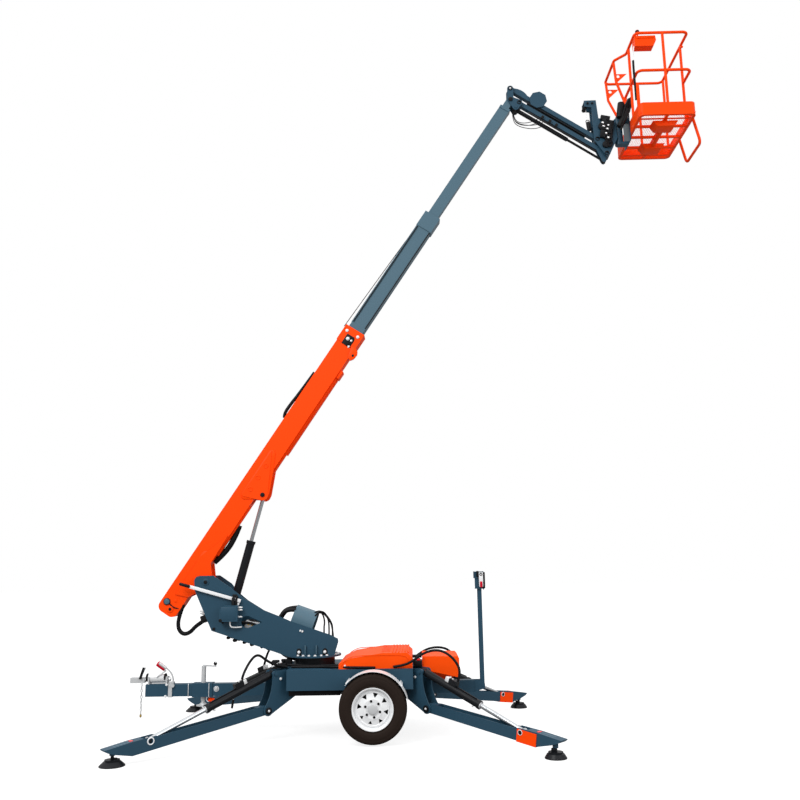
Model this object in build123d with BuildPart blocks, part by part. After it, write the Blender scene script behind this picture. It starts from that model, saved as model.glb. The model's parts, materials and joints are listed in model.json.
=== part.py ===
from build123d import *
from math import cos, hypot, radians, sin
import os

# A trailer-mounted boom lift, parked on its four outriggers with the boom raised.
# Millimetres. The tow bar points to -X and the boom's end to +X, +Z is up and z = 0 is the
# ground. Each moving piece is drawn as it stands when parked, and the origin lies on the
# ground below the middle of the outline.

os.makedirs("parts", exist_ok=True)

# ---- clearances
run = 0.05              # radial clearance of a pin in its bore
seat = 0.3              # gap between pieces that slide on or face one another
side_play = 0.5         # gap between a boss and the cheek beside it

# ---- chassis
axle_x = -615
rail_front = axle_x - 870
rail_rear = axle_x + 390
rail_top = 664
rail_depth = 188
rail_wide = 90
chassis_wide = 980
deck_thick = 8
beam_wide = 120
spine_front = axle_x - 2410
spine_rear = axle_x + 1020
spine_wide = 100
spine_deep = 122
spine_top = 500
spine_wall = 8

# ---- tow bar fittings
jack_x = axle_x - 1813
jack_radius = 24
jack_wall = 4
jack_top = 668
jack_bottom = 330
jack_foot_z = 285
crank_long = 130        # how far the jack's folded crank reaches
jack_foot_radius = 70
collar_half = 105
collar_wall = 8
post_x = axle_x + 1110
post_size = 46
post_wall = 4
post_top = 1425
cradle_top = 1605
cradle_size = 96
post_pin_z = 440

# ---- wheels
wheel_z = 337
wheel_face = 802        # the tyre's outer side, from the centre plane
tyre_radius = 330
tyre_wide = 205
rim_radius = 190
rim_lip = 16
disc_thick = 7
slot_count = 8
lug_count = 6
hub_radius = 58
stub_radius = 25
axle_size = 60
guard_gap = 13
guard_thick = 3

# ---- outriggers
pivot_z = 295
pivot_y = 461
splay = 40              # angle in plan between an arm and the machine's length
arm_slope = 8           # how far an arm dips when it stands on its foot
arm_half = 56
arm_wall = 8
cheek_gap = 60          # from an arm's middle plane to the cheeks that hold it
cheek_thick = 12
arm_pin = 22
upper_pin = 18
upper_back = 82         # the cylinder's upper pin lies this far behind the arm's pivot
upper_rise = 341        # and this far above it
eye_back = 318          # the rod's eye lies this far short of the foot
eye_rise = 44
arm_low = -36           # the arm's underside, from the line through its pivot
arm_high = 76           # and its top edge beside the rod's eye
barrel_radius = 38
barrel_eye = 31
sleeve_back = 354       # the coloured sleeve's inner end, short of the foot
sleeve_long = 205
rod_radius = 22
rod_tail = 600
rod_eye_radius = 28
rod_eye_half = 24
foot_neck = 15
foot_socket_z = 88
corners = [
    # name, pivot x, side, way along the machine, reach from pivot to foot,
    # length of the cylinder's barrel, radius of the foot
    ("front_left", axle_x - 1086, -1, -1, 1520, 768, 112),
    ("front_right", axle_x - 1086, 1, -1, 1520, 768, 112),
    ("rear_left", axle_x + 561, -1, 1, 1400, 736, 98),
    ("rear_right", axle_x + 561, 1, 1, 1400, 736, 98),
]

# ---- turret
slew_x = axle_x - 645
bearing_radius = 213
bearing_bore = 150
bearing_high = 92
table_thick = 16
table_radius = 280
turret_gap = 150        # half the space between the turret's two side plates
turret_plate = 12
arch_x = -228           # the hose cover's upper end, from the slewing axis
arch_z = 1148
arch_slope = 20
arch_long = 238
arch_leg = 60
arch_radius = turret_gap - seat
boom_pivot_x = slew_x - 1136
boom_pivot_z = 1541
lift_base_x = axle_x - 1541
lift_base_z = 1194
boom_pin = 25
lift_pin = 20

# ---- boom, measured along its axis from the middle of the rounded tail
boom_angle = 56.4
tail_over = 54          # how far the tail reaches past the point that all is measured from
tail_round = 66
pivot_along = 460
pivot_drop = 194        # the pivot lies this far below the boom's axis
lift_along = 1540
lift_drop = 168
lift_plate = 12
base_deep, base_wide, base_wall = 225, 160, 8
mid_deep, mid_wide, mid_wall = 178, 125, 6
inner_deep, inner_wide, inner_wall = 130, 90, 5
base_end = 3620
mid_start, mid_end = 1900, 5250
inner_start, inner_end = 3600, 6860
knuckle_along = 6985
collar_long = 190
collar_thick = 8
pad_long = 60

# ---- lift cylinder
lift_barrel_radius = 44
lift_barrel_long = 800
lift_rod_radius = 20
lift_rod_tail = 650
lift_eye_radius = 28
lift_eye_half = 21
lift_gap = 24           # from the middle plane to the stubs that face the rod's eye

# ---- jib: points on the knuckle are measured from the knuckle's own pivot
jib_angle = -34.1
jib_long = 1201
jib_low_pin = (101, -42)
jib_top_pin = (2, 141)
jib_base_pin = (58, -99)
bar_deep = 50
bar_half = 34
top_lift = 19           # the upper bar lies this far above the line of its pins
low_lift = 11
bar_wall = 4.5
fork_long = 260         # how far the lower bar is forked from its inner pin
cover_along = 352
cover_rise = 62
cover_radius = 106
knuckle_gap = 52
knuckle_plate = 12
jib_pin = 18
jib_boss = 30
jib_barrel_radius = 24
jib_barrel_long = 720
jib_rod_radius = 14
jib_rod_tail = 600
jib_eye_radius = 24
jib_eye_half = 18
jib_eye_along = 1216    # the cylinder's outer eye, along the lower bar and below it
jib_eye_drop = 75

# ---- platform
swivel_x = 2315
swivel_radius = 48
swivel_pin = 25
swivel_bottom = 6520
swivel_end = 6788
mast_top = 7042         # the top of the jib head's upright arm
basket_left = 2440
basket_right = 3040
basket_half = 525
bump_out = 115          # how far the upper rails stand out beside the swivel
floor_z = 6575
floor_deep = 26
kick_high = 150
kick_thick = 3
mid_rail_z = 7130
top_rail_z = 7600
tube_radius = 16


def save(part, name):
    part.label = name
    export_step(part, "parts/" + name + ".step")


def side_view(x=0, z=0, slope=0, y=0):
    """The machine's side view from its left, its own x along a slope."""
    c, s = cos(radians(slope)), sin(radians(slope))
    return Plane(origin=(x, y, z), x_dir=(c, 0, s), z_dir=(0, -1, 0))


def cross_view(x, y, z, across):
    """The end view of a rod that runs from (x, y, z) along the direction given."""
    return Plane(origin=(x, y, z), z_dir=across)


# ======================================================================== chassis
deck_top = rail_top + deck_thick
rail_bottom = rail_top - rail_depth
rail_y = (chassis_wide - rail_wide) / 2
rail_mid = (rail_front + rail_rear) / 2
beam_x = (rail_front + beam_wide / 2, slew_x + 280, rail_rear - beam_wide / 2)


def arm_way(side, way):
    """An outrigger's level direction, away from the machine."""
    return way * cos(radians(splay)), side * sin(radians(splay))


def arm_view(x, side, way, slope=0, z=0):
    """The side view of an outrigger, from its pivot outwards."""
    dx, dy = arm_way(side, way)
    c, s = cos(radians(slope)), sin(radians(slope))
    return Plane(origin=(x, side * pivot_y, z), x_dir=(dx * c, dy * c, -s), z_dir=(dy, -dx, 0))


def arm_point(along, rise):
    """A point of the sloping arm as distance out from the pivot and height."""
    c, s = cos(radians(arm_slope)), sin(radians(arm_slope))
    return along * c + rise * s, pivot_z - along * s + rise * c


lug = 50
upper_z = pivot_z + upper_rise
with BuildPart() as chassis_frame:
    with BuildSketch(Plane.XY.offset(rail_bottom)):
        with Locations((rail_mid, -rail_y), (rail_mid, rail_y)):
            Rectangle(rail_rear - rail_front, rail_wide)
    extrude(amount=rail_depth)
    with BuildSketch(Plane.XY.offset(spine_top)):
        with Locations(*[(x, 0) for x in beam_x]):
            Rectangle(beam_wide, chassis_wide - rail_wide)
    extrude(amount=rail_top - spine_top)
    with BuildSketch(Plane.XY.offset(rail_top)):
        with Locations((rail_mid, 0)):
            Rectangle(rail_rear - rail_front, chassis_wide)
    extrude(amount=deck_thick)
    for name, x, side, way, reach, barrel_long, foot_radius in corners:
        view = arm_view(x, side, way)
        for level in (cheek_gap, -cheek_gap - cheek_thick):
            # One cheek: a web that hollows down from the deck to the lug of the pivot.
            with BuildSketch(view.offset(level)):
                with BuildLine():
                    Line((-330, deck_top - 4), (-upper_back + 6, deck_top - 4))
                    ThreePointArc(
                        (-upper_back + 6, deck_top - 4), (-upper_back + 26, upper_z + 22),
                        (-upper_back + 34, upper_z),
                    )
                    Line((-upper_back + 34, upper_z), (-upper_back + 38, upper_z - 36))
                    ThreePointArc(
                        (-upper_back + 38, upper_z - 36), (-26, 460),
                        (lug * 0.8, pivot_z + lug * 0.6),
                    )
                    Polyline(
                        (lug * 0.8, pivot_z + lug * 0.6),
                        (-lug * 0.5, pivot_z - lug * 0.8),
                        (-330, rail_bottom - 60),
                        (-330, deck_top - 4),
                    )
                make_face()
                with Locations((0, pivot_z)):
                    Circle(lug)
            extrude(amount=cheek_thick)
        outside = cheek_gap + cheek_thick
        with BuildSketch(view.offset(-outside - 10)):
            with Locations((0, pivot_z)):
                Circle(arm_pin)
            with Locations((-upper_back, upper_z)):
                Circle(upper_pin)
        extrude(amount=2 * outside + 20)
        for level in (outside, -outside - 8):
            with BuildSketch(view.offset(level)):
                with Locations((0, pivot_z)):
                    RegularPolygon(arm_pin + 10, 6)
            extrude(amount=8)
        # Spacers either side of the cylinder's upper eye.
        for level in (barrel_eye + side_play, -cheek_gap):
            with BuildSketch(view.offset(level)):
                with Locations((-upper_back, upper_z)):
                    Circle(upper_pin + 9)
            extrude(amount=cheek_gap - barrel_eye - side_play)
save(chassis_frame.part, "chassis_frame")

with BuildPart() as drawbar:
    with BuildSketch(Plane.YZ.offset(spine_front)):
        with Locations((0, spine_top - spine_deep / 2)):
            Rectangle(spine_wide, spine_deep)
            Rectangle(
                spine_wide - 2 * spine_wall, spine_deep - 2 * spine_wall, mode=Mode.SUBTRACT
            )
    extrude(amount=spine_rear - spine_front)
    # The jack's collar round the beam.
    with BuildSketch(Plane.YZ.offset(jack_x - collar_half)):
        with Locations((0, spine_top - spine_deep / 2)):
            Rectangle(spine_wide + 2 * collar_wall, spine_deep + 2 * collar_wall)
            Rectangle(spine_wide, spine_deep, mode=Mode.SUBTRACT)
    extrude(amount=2 * collar_half)
    with BuildSketch(Plane.XY.offset(spine_top - spine_deep - collar_wall)):
        with Locations((jack_x, 0)):
            Circle(jack_radius + 8)
    extrude(amount=spine_deep + 2 * collar_wall)
    with BuildSketch(Plane.XY.offset(spine_top - spine_deep - collar_wall)):
        with Locations((jack_x, 0)):
            Circle(jack_radius)
    extrude(amount=spine_deep + 2 * collar_wall, mode=Mode.SUBTRACT)
    # Ears at the rear end that carry the foot of the boom's rest.
    ear_in = post_size / 2 + side_play
    for level in (ear_in, -ear_in - 10):
        with BuildSketch(side_view(y=-level)):
            with BuildLine():
                Polyline(
                    (spine_rear - 70, spine_top - spine_deep),
                    (spine_rear - 70, spine_top),
                    (post_x - 20, spine_top),
                    (post_x + 26, post_pin_z + 20),
                    (post_x + 26, post_pin_z - 26),
                    (spine_rear, spine_top - spine_deep),
                    close=True,
                )
            make_face()
        extrude(amount=10)
    with BuildSketch(side_view(y=ear_in + 14)):
        with Locations((post_x, post_pin_z)):
            Circle(10)
    extrude(amount=2 * ear_in + 28)
save(drawbar.part, "drawbar")

# ---- the coupling on the tow bar's end: ball head, overrun tube and its two stands
coupling_z = spine_top + 44
head_x = spine_front - 168
ball_radius = 25
with BuildPart() as coupling:
    with BuildSketch(Plane.YZ.offset(head_x + 60)):
        with Locations((0, coupling_z)):
            Circle(20)
    extrude(amount=spine_front + 250 - head_x - 60)
    with BuildSketch(Plane.YZ.offset(spine_front + 40)):
        with Locations((0, coupling_z)):
            Circle(33)
    extrude(amount=170)
    for x in (spine_front + 22, spine_front + 210):
        with BuildSketch(Plane.YZ.offset(x)):
            with Locations((0, spine_top + 38)):
                Rectangle(spine_wide - 6, 76)
        extrude(amount=14)
    with BuildSketch(Plane.XY.offset(coupling_z - 30)):
        with BuildLine():
            Polyline(
                (head_x + 150, -28), (head_x + 150, 28), (head_x + 60, 40), (head_x, 36),
                (head_x, -36), (head_x + 60, -40), close=True,
            )
        make_face()
    extrude(amount=54)
    with Locations((head_x + 38, 0, coupling_z - 30)):
        Sphere(ball_radius + 0.5, mode=Mode.SUBTRACT)
    with BuildSketch(side_view(y=8)):
        with BuildLine():
            Polyline(
                (head_x + 84, coupling_z + 20), (head_x + 104, coupling_z + 20),
                (head_x + 150, coupling_z + 118), (head_x + 138, coupling_z + 126),
                close=True,
            )
        make_face()
    extrude(amount=16)
save(coupling.part, "coupling")

# ---- handbrake: a strap round the beam and a bent lever with its grip
strap_x = spine_front + 241
with BuildPart() as handbrake:
    with BuildSketch(Plane.YZ.offset(strap_x)):
        with Locations((0, spine_top - spine_deep / 2 + 4)):
            Rectangle(spine_wide + 16, spine_deep + 24)
            Rectangle(spine_wide + 2, spine_deep + 8, mode=Mode.SUBTRACT)
    extrude(amount=40)
    with BuildLine() as lever_line:
        Spline(
            (strap_x + 52, -spine_wide / 2 - 14, spine_top + 8),
            (strap_x + 42, -spine_wide / 2 - 14, spine_top + 88),
            (strap_x - 25, -spine_wide / 2 - 14, spine_top + 166),
        )
    with BuildSketch(Plane(origin=lever_line.line @ 0, z_dir=lever_line.line % 0)):
        Rectangle(12, 18)
    sweep()
    with BuildSketch(Plane(origin=lever_line.line @ 1, z_dir=lever_line.line % 1)):
        Circle(15)
    extrude(amount=92)
    with BuildSketch(side_view(y=-spine_wide / 2 - 4)):
        with Locations((strap_x + 48, spine_top - 12)):
            Circle(18)
    extrude(amount=16)
save(handbrake.part, "handbrake")

# ---- safety chain: links that hang from the coupling's side
link_wire = 4
link_long = 40
link_wide = 24
chain_links = 11
chain_x = spine_front - 36
with BuildPart() as safety_chain:
    pitch = link_long - 2 * link_wire - 1
    for i in range(chain_links):
        z = coupling_z - 40 - i * pitch
        turn = (1, 0, 0) if i % 2 else (0, 1, 0)
        plane = Plane(origin=(chain_x, -spine_wide / 2 - 8, z), x_dir=(0, 0, 1), z_dir=turn)
        with BuildLine(plane) as ring:
            half = (link_long - link_wide) / 2
            wide = link_wide / 2 - link_wire
            Line((-half, wide), (half, wide))
            JernArc((half, wide), (1, 0), wide, -180)
            Line((half, -wide), (-half, -wide))
            JernArc((-half, -wide), (-1, 0), wide, -180)
        with BuildSketch(Plane(origin=ring.line @ 0, z_dir=ring.line % 0)):
            Circle(link_wire)
        sweep()
save(safety_chain.part, "safety_chain")

# ---- tow bar jack: fixed tube with its crank, and the leg that slides in it
with BuildPart() as jack_tube:
    with BuildSketch(Plane.XY.offset(jack_bottom)):
        with Locations((jack_x, 0)):
            Circle(jack_radius)
            Circle(jack_radius - jack_wall, mode=Mode.SUBTRACT)
    extrude(amount=jack_top - jack_bottom)
    with BuildSketch(Plane.XY.offset(jack_top)):
        with Locations((jack_x, 0)):
            Circle(jack_radius)
    extrude(amount=8)
    with BuildSketch(side_view(y=6)):
        with BuildLine():
            Polyline(
                (jack_x - 8, jack_top), (jack_x - 8, jack_top + 20), (jack_x + crank_long, jack_top + 8),
                (jack_x + crank_long, jack_top - 4), (jack_x + 20, jack_top + 2),
                (jack_x + 8, jack_top), close=True,
            )
        make_face()
    extrude(amount=12)
    with BuildSketch(Plane.XY.offset(jack_top)):
        with Locations((jack_x + crank_long - 8, 0)):
            Circle(8)
    extrude(amount=24)
    with Locations((jack_x + crank_long - 8, 0, jack_top + 34)):
        Sphere(17)
save(jack_tube.part, "jack_tube")

with BuildPart() as jack_leg:
    with BuildSketch(Plane.XY.offset(jack_foot_z)):
        with Locations((jack_x, 0)):
            Circle(jack_radius - jack_wall - run)
    extrude(amount=jack_top - 20 - jack_foot_z)
    with BuildSketch(Plane.XY.offset(jack_foot_z - 8)):
        with Locations((jack_x, 0)):
            Circle(jack_foot_radius)
    extrude(amount=8)
    with Locations((jack_x, 0, jack_foot_z + 12)):
        Cone(jack_foot_radius - 25, jack_radius, 24)
save(jack_leg.part, "jack_leg")

# ---- boom rest: a post hinged at its foot, with a cradle on top
with BuildPart() as boom_rest:
    with BuildSketch(Plane.XY.offset(post_pin_z - 20)):
        with Locations((post_x, 0)):
            Rectangle(post_size, post_size)
            Rectangle(
                post_size - 2 * post_wall, post_size - 2 * post_wall, mode=Mode.SUBTRACT
            )
    extrude(amount=post_top - post_pin_z + 20)
    with BuildSketch(side_view(y=post_size / 2)):
        with Locations((post_x, post_pin_z)):
            Circle(22)
    extrude(amount=post_size)
    with BuildSketch(side_view(y=post_size / 2 + 1)):
        with Locations((post_x, post_pin_z)):
            Circle(10 + run)
    extrude(amount=post_size + 2, mode=Mode.SUBTRACT)
    # The cradle: a channel open on its near and far side, with a latch plate.
    for x, low in ((post_x - cradle_size / 2 - 8, cradle_top - 70), (post_x + 40, post_top - 10)):
        with BuildSketch(Plane.YZ.offset(x)):
            with Locations((0, (cradle_top + low) / 2)):
                Rectangle(90, cradle_top - low)
        extrude(amount=8)
    with BuildSketch(Plane.XY.offset(post_top)):
        with Locations((post_x, 0)):
            Rectangle(cradle_size - 2, 90)
    extrude(amount=6)
    with BuildSketch(side_view(y=-30)):
        with Locations((post_x, (cradle_top + post_top) / 2)):
            Rectangle(cradle_size, cradle_top - post_top - 2)
    extrude(amount=6)
    with BuildSketch(Plane.XY.offset(cradle_top - 70)):
        with Locations((post_x - 4, 0)):
            Rectangle(cradle_size, 90)
    extrude(amount=8)
save(boom_rest.part, "boom_rest")

# ======================================================================== running gear
with BuildPart() as axle:
    beam_long = wheel_face - tyre_wide - 40
    with BuildSketch(Plane.XZ.offset(-beam_long)):
        with Locations((axle_x, wheel_z)):
            Rectangle(axle_size, axle_size)
    extrude(amount=2 * beam_long)
    for side in (-1, 1):
        with BuildSketch(Plane.XZ.offset(side * beam_long)):
            with Locations((axle_x, wheel_z)):
                Circle(stub_radius)
        extrude(amount=side * (wheel_face - beam_long - 40))
        # A hanger from the rail, forked over the beam.
        with BuildSketch(side_view(y=side * rail_y + 30)):
            with BuildLine():
                Polyline(
                    (axle_x - 110, rail_bottom), (axle_x + 110, rail_bottom),
                    (axle_x + 44, wheel_z - axle_size / 2 - 8),
                    (axle_x - 44, wheel_z - axle_size / 2 - 8), close=True,
                )
            make_face()
        extrude(amount=60)
save(axle.part, "axle")

guard_radius = tyre_radius + guard_gap
with BuildPart() as mudguards:
    for side in (-1, 1):
        start = side * (wheel_face - tyre_wide + 10)
        with BuildSketch(Plane.XZ.offset(-start)):
            with BuildLine():
                CenterArc((axle_x, wheel_z), guard_radius, 12, 128)
                CenterArc((axle_x, wheel_z), guard_radius + guard_thick, 12, 128)
                for angle in (12, 140):
                    c, s = cos(radians(angle)), sin(radians(angle))
                    Line(
                        (axle_x + guard_radius * c, wheel_z + guard_radius * s),
                        (
                            axle_x + (guard_radius + guard_thick) * c,
                            wheel_z + (guard_radius + guard_thick) * s,
                        ),
                    )
            make_face()
        extrude(amount=-side * (tyre_wide - 14))
        for angle in (38, 136):
            c, s = cos(radians(angle)), sin(radians(angle))
            centre = guard_radius + guard_thick + 3
            plane = Plane(
                origin=(axle_x + centre * c, side * chassis_wide / 2, wheel_z + centre * s),
                x_dir=(-s, 0, c), z_dir=(0, side, 0),
            )
            with BuildSketch(plane):
                Rectangle(34, 7)
            extrude(amount=wheel_face - tyre_wide + 120 - chassis_wide / 2)
save(mudguards.part, "mudguards")

for name, side in (("left", -1), ("right", 1)):
    centre_line = Axis((axle_x, 0, wheel_z), (0, 1, 0))
    outer = side * wheel_face
    inner = side * (wheel_face - tyre_wide)
    with BuildPart() as tyre:
        with BuildSketch(Plane.XY.offset(wheel_z)):
            with BuildLine():
                bead = rim_radius + seat
                Polyline(
                    (axle_x + bead, outer - side * 14.6),
                    (axle_x + rim_radius + rim_lip + seat, outer - side * 13.6),
                    (axle_x + rim_radius + rim_lip + 8, outer - side * 6),
                    (axle_x + 262, outer), (axle_x + 302, outer - side * 7),
                    (axle_x + tyre_radius - 8, outer - side * 24),
                    (axle_x + tyre_radius, outer - side * 46),
                    (axle_x + tyre_radius, inner + side * 46),
                    (axle_x + tyre_radius - 8, inner + side * 24),
                    (axle_x + 302, inner + side * 7), (axle_x + 262, inner),
                    (axle_x + rim_radius + rim_lip + 8, inner + side * 6),
                    (axle_x + rim_radius + rim_lip + seat, inner + side * 13.6),
                    (axle_x + bead, inner + side * 14.6), close=True,
                )
            make_face()
        revolve(axis=centre_line)
    save(tyre.part, "tyre_" + name)
    with BuildPart() as wheel:
        disc = outer - side * 40
        with BuildSketch(Plane.XY.offset(wheel_z)):
            with BuildLine():
                # The rim's section: lip, bead seat, well and the far lip.
                lip = rim_radius + rim_lip
                Polyline(
                    (axle_x + lip, outer - side * 8), (axle_x + lip, outer - side * 13),
                    (axle_x + rim_radius, outer - side * 14),
                    (axle_x + rim_radius, inner + side * 14),
                    (axle_x + lip, inner + side * 13), (axle_x + lip, inner + side * 8),
                    (axle_x + rim_radius - 8, inner + side * 9),
                    (axle_x + rim_radius - 8, disc - side * (disc_thick + 6)),
                    (axle_x + 150, disc - side * disc_thick),
                    (axle_x + 96, disc - side * (disc_thick - 12)),
                    (axle_x + hub_radius, disc - side * (disc_thick - 12)),
                    (axle_x + hub_radius, inner + side * 40),
                    (axle_x + stub_radius + run, inner + side * 40),
                    (axle_x + stub_radius + run, disc), (axle_x + 22, disc + side * 6),
                    (axle_x, disc + side * 6), (axle_x, disc + side * 34),
                    (axle_x + 44, disc + side * 32), (axle_x + 48, disc + side * 12),
                    (axle_x + 96, disc + side * 12), (axle_x + 150, disc),
                    (axle_x + rim_radius - 8, disc - side * 6),
                    (axle_x + rim_radius - 8, outer - side * 9), close=True,
                )
            make_face()
        revolve(axis=centre_line)
        with BuildSketch(side_view(axle_x, wheel_z, y=disc + side * 40)):
            with PolarLocations(134, slot_count, start_angle=11):
                with Locations(Rotation(0, 0, 180)):
                    Triangle(a=34, b=34, c=34, rotation=0)
        extrude(amount=80 * side, mode=Mode.SUBTRACT)
        with BuildSketch(side_view(axle_x, wheel_z, y=disc + side * 10)):
            with PolarLocations(70, lug_count):
                RegularPolygon(10, 6)
        extrude(amount=-12 * side)
    save(wheel.part, "wheel_" + name)

# ======================================================================== outriggers
for name, x, side, way, reach, barrel_long, foot_radius in corners:
    dx, dy = arm_way(side, way)
    view = arm_view(x, side, way, arm_slope, pivot_z)
    eye_s, eye_z = arm_point(reach - eye_back, eye_rise)
    foot_x, foot_y = x + reach * dx, side * pivot_y + reach * dy
    with BuildPart() as arm:
        with BuildSketch(view):
            with BuildLine():
                Polyline(
                    (0, arm_low), (reach - 141, arm_low - 1), (reach + 4, 14),
                    (reach + 74, 48), (reach + 96, 66), (reach + 96, 76),
                    (reach - 155, arm_high + 6), (reach - 375, arm_high),
                    (reach - 395, arm_high - 8), (90, arm_high - 22), (0, 42), close=True,
                )
            make_face()
        extrude(amount=arm_half, both=True)
        with BuildSketch(view):
            Circle(43)
            with Locations((reach - eye_back, eye_rise)):
                Circle(24)
        extrude(amount=cheek_gap - side_play, both=True)
        # The channel, open on top from the pivot to the rod's eye.
        with BuildSketch(view):
            with Locations((110, arm_low + arm_wall)):
                Rectangle(reach - eye_back + 58 - 110, 200, align=(Align.MIN, Align.MIN))
        extrude(amount=arm_half - arm_wall, both=True, mode=Mode.SUBTRACT)
        for level in (rod_eye_half + 3, -arm_half):
            with BuildSketch(view.offset(level)):
                with Locations((reach - eye_back, eye_rise)):
                    Circle(18)
            extrude(amount=arm_half - rod_eye_half - 3)
        with BuildSketch(Plane.XY.offset(foot_socket_z)):
            with Locations((foot_x, foot_y)):
                Circle(26)
        extrude(amount=40)
        with BuildSketch(view):
            Circle(arm_pin + run)
            with Locations((reach - eye_back, eye_rise)):
                Circle(10)
        extrude(amount=200, both=True, mode=Mode.SUBTRACT)
    save(arm.part, "arm_" + name)

    with BuildPart() as foot:
        with BuildSketch(Plane(origin=(foot_x, foot_y, 0), x_dir=(1, 0, 0), z_dir=(0, -1, 0))):
            with BuildLine():
                Polyline(
                    (0, 0), (foot_radius, 0), (foot_radius, 7), (76, 40), (66, 44),
                    (66, 56), (34, 58), (foot_neck, 60), (foot_neck, foot_socket_z),
                    (0, foot_socket_z), close=True,
                )
            make_face()
        revolve(axis=Axis((foot_x, foot_y, 0), (0, 0, 1)))
    save(foot.part, "foot_" + name)

    if way > 0:
        with BuildPart() as sleeve:
            with BuildSketch(view):
                with Locations((reach - sleeve_back, arm_low - 7)):
                    Rectangle(sleeve_long, arm_high - arm_low, align=(Align.MIN, Align.MIN))
            extrude(amount=arm_half + 6.3, both=True)
            with BuildSketch(view):
                with Locations((reach - sleeve_back - 5, arm_low - 1 - seat)):
                    Rectangle(sleeve_long + 10, 200, align=(Align.MIN, Align.MIN))
            extrude(amount=arm_half + seat, both=True, mode=Mode.SUBTRACT)
            with BuildSketch(view):
                with Locations((reach - eye_back, eye_rise)):
                    Circle(24 + seat)
            extrude(amount=200, both=True, mode=Mode.SUBTRACT)
        save(sleeve.part, "sleeve_" + name)

    # The cylinder, from its upper pin to the rod's eye.
    start = Vector(x - upper_back * dx, side * pivot_y - upper_back * dy, upper_z)
    end = Vector(x + eye_s * dx, side * pivot_y + eye_s * dy, eye_z)
    line = end - start
    length = line.length
    along = line.normalized()
    slanted = Plane(origin=start, x_dir=along, z_dir=(dy, -dx, 0))
    end_view = Plane(origin=start, x_dir=(dy, -dx, 0), z_dir=along)
    with BuildPart() as barrel:
        with BuildSketch(end_view.offset(upper_pin + 20)):
            Circle(barrel_radius)
        extrude(amount=barrel_long - upper_pin - 20)
        with BuildSketch(end_view.offset(barrel_long - 26)):
            Circle(barrel_radius + 4)
        extrude(amount=26)
        with BuildSketch(slanted):
            Circle(upper_pin + 12)
            Rectangle(upper_pin + 22, 46, align=(Align.MIN, Align.CENTER))
        extrude(amount=barrel_eye, both=True)
        # Lock valve on top of the barrel.
        with BuildSketch(slanted):
            with Locations((380, barrel_radius + 22)):
                Rectangle(96, 52)
        extrude(amount=26, both=True)
        with BuildSketch(slanted):
            Circle(upper_pin + run)
        extrude(amount=barrel_eye + 1, both=True, mode=Mode.SUBTRACT)
        with BuildSketch(end_view.offset(50)):
            Circle(rod_radius + run)
        extrude(amount=barrel_long, mode=Mode.SUBTRACT)
    save(barrel.part, "barrel_" + name)

    with BuildPart() as rod:
        with BuildSketch(end_view.offset(rod_tail)):
            Circle(rod_radius)
        extrude(amount=length - rod_tail)
        with BuildSketch(slanted):
            with Locations((length, 0)):
                Circle(rod_eye_radius)
        extrude(amount=rod_eye_half, both=True)
        with BuildSketch(slanted):
            with Locations((length, 0)):
                Circle(10)
        extrude(amount=rod_eye_half + 4, both=True, mode=Mode.SUBTRACT)
    save(rod.part, "rod_" + name)

# ======================================================================== hoods
hood_half = 450
hood_wall = 4
hood_front = axle_x - 353
hood_outline = [
    (hood_front, deck_top + seat), (hood_front, deck_top + 48), (hood_front + 123, deck_top + 103),
    (hood_front + 433, deck_top + 148), (rail_rear - 55, deck_top + 148),
    (rail_rear - 4, deck_top + 103), (rail_rear - 4, deck_top + seat),
]
with BuildPart() as power_cover:
    with BuildSketch(Plane.XZ):
        Polygon(*hood_outline, align=None)
    extrude(amount=hood_half, both=True)
    openings = power_cover.faces().sort_by(Axis.Z)[0]
    offset(amount=-hood_wall, openings=openings)
save(power_cover.part, "power_cover")

with BuildPart() as power_unit:
    with BuildSketch(Plane.XY.offset(deck_top)):
        with Locations((axle_x + 110, 0)):
            Rectangle(420, 560)
    extrude(amount=100)
save(power_unit.part, "power_unit")

rear_front = axle_x + 487
rear_back = axle_x + 862
rear_half = 290
with BuildPart() as rear_cover:
    with BuildSketch(Plane.XZ):
        Polygon(
            (rear_front, 640), (rear_back, 556), (rear_back, 742), (rear_back - 18, 764),
            (rear_front, 768), align=None,
        )
    extrude(amount=rear_half, both=True)
    with BuildSketch(Plane.XY.offset(spine_top)):
        with Locations(((rear_front + rear_back) / 2, 0)):
            Rectangle(260, spine_wide)
    extrude(amount=140)
save(rear_cover.part, "rear_cover")

# ======================================================================== turret
with BuildPart() as slew_bearing:
    with BuildSketch(Plane.XY.offset(deck_top)):
        with Locations((slew_x, 0)):
            Circle(bearing_radius)
            Circle(bearing_bore, mode=Mode.SUBTRACT)
    extrude(amount=bearing_high - seat)
save(slew_bearing.part, "slew_bearing")

table_z = deck_top + bearing_high
turret_outline = [
    (-1258, 1556), (-1250, 1580), (-1231, 1598), (-1204, 1606), (-1056, 1606), (-852, 1467), (-743, 1379), (-539, 1253),
    (-353, 1179), (-232, 1126), (179, 985), (259, 945), (264, 914), (219, table_z + 4),
    (-250, table_z + 4), (-401, 822), (-1061, 1042), (-1247, 1452),
]
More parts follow.
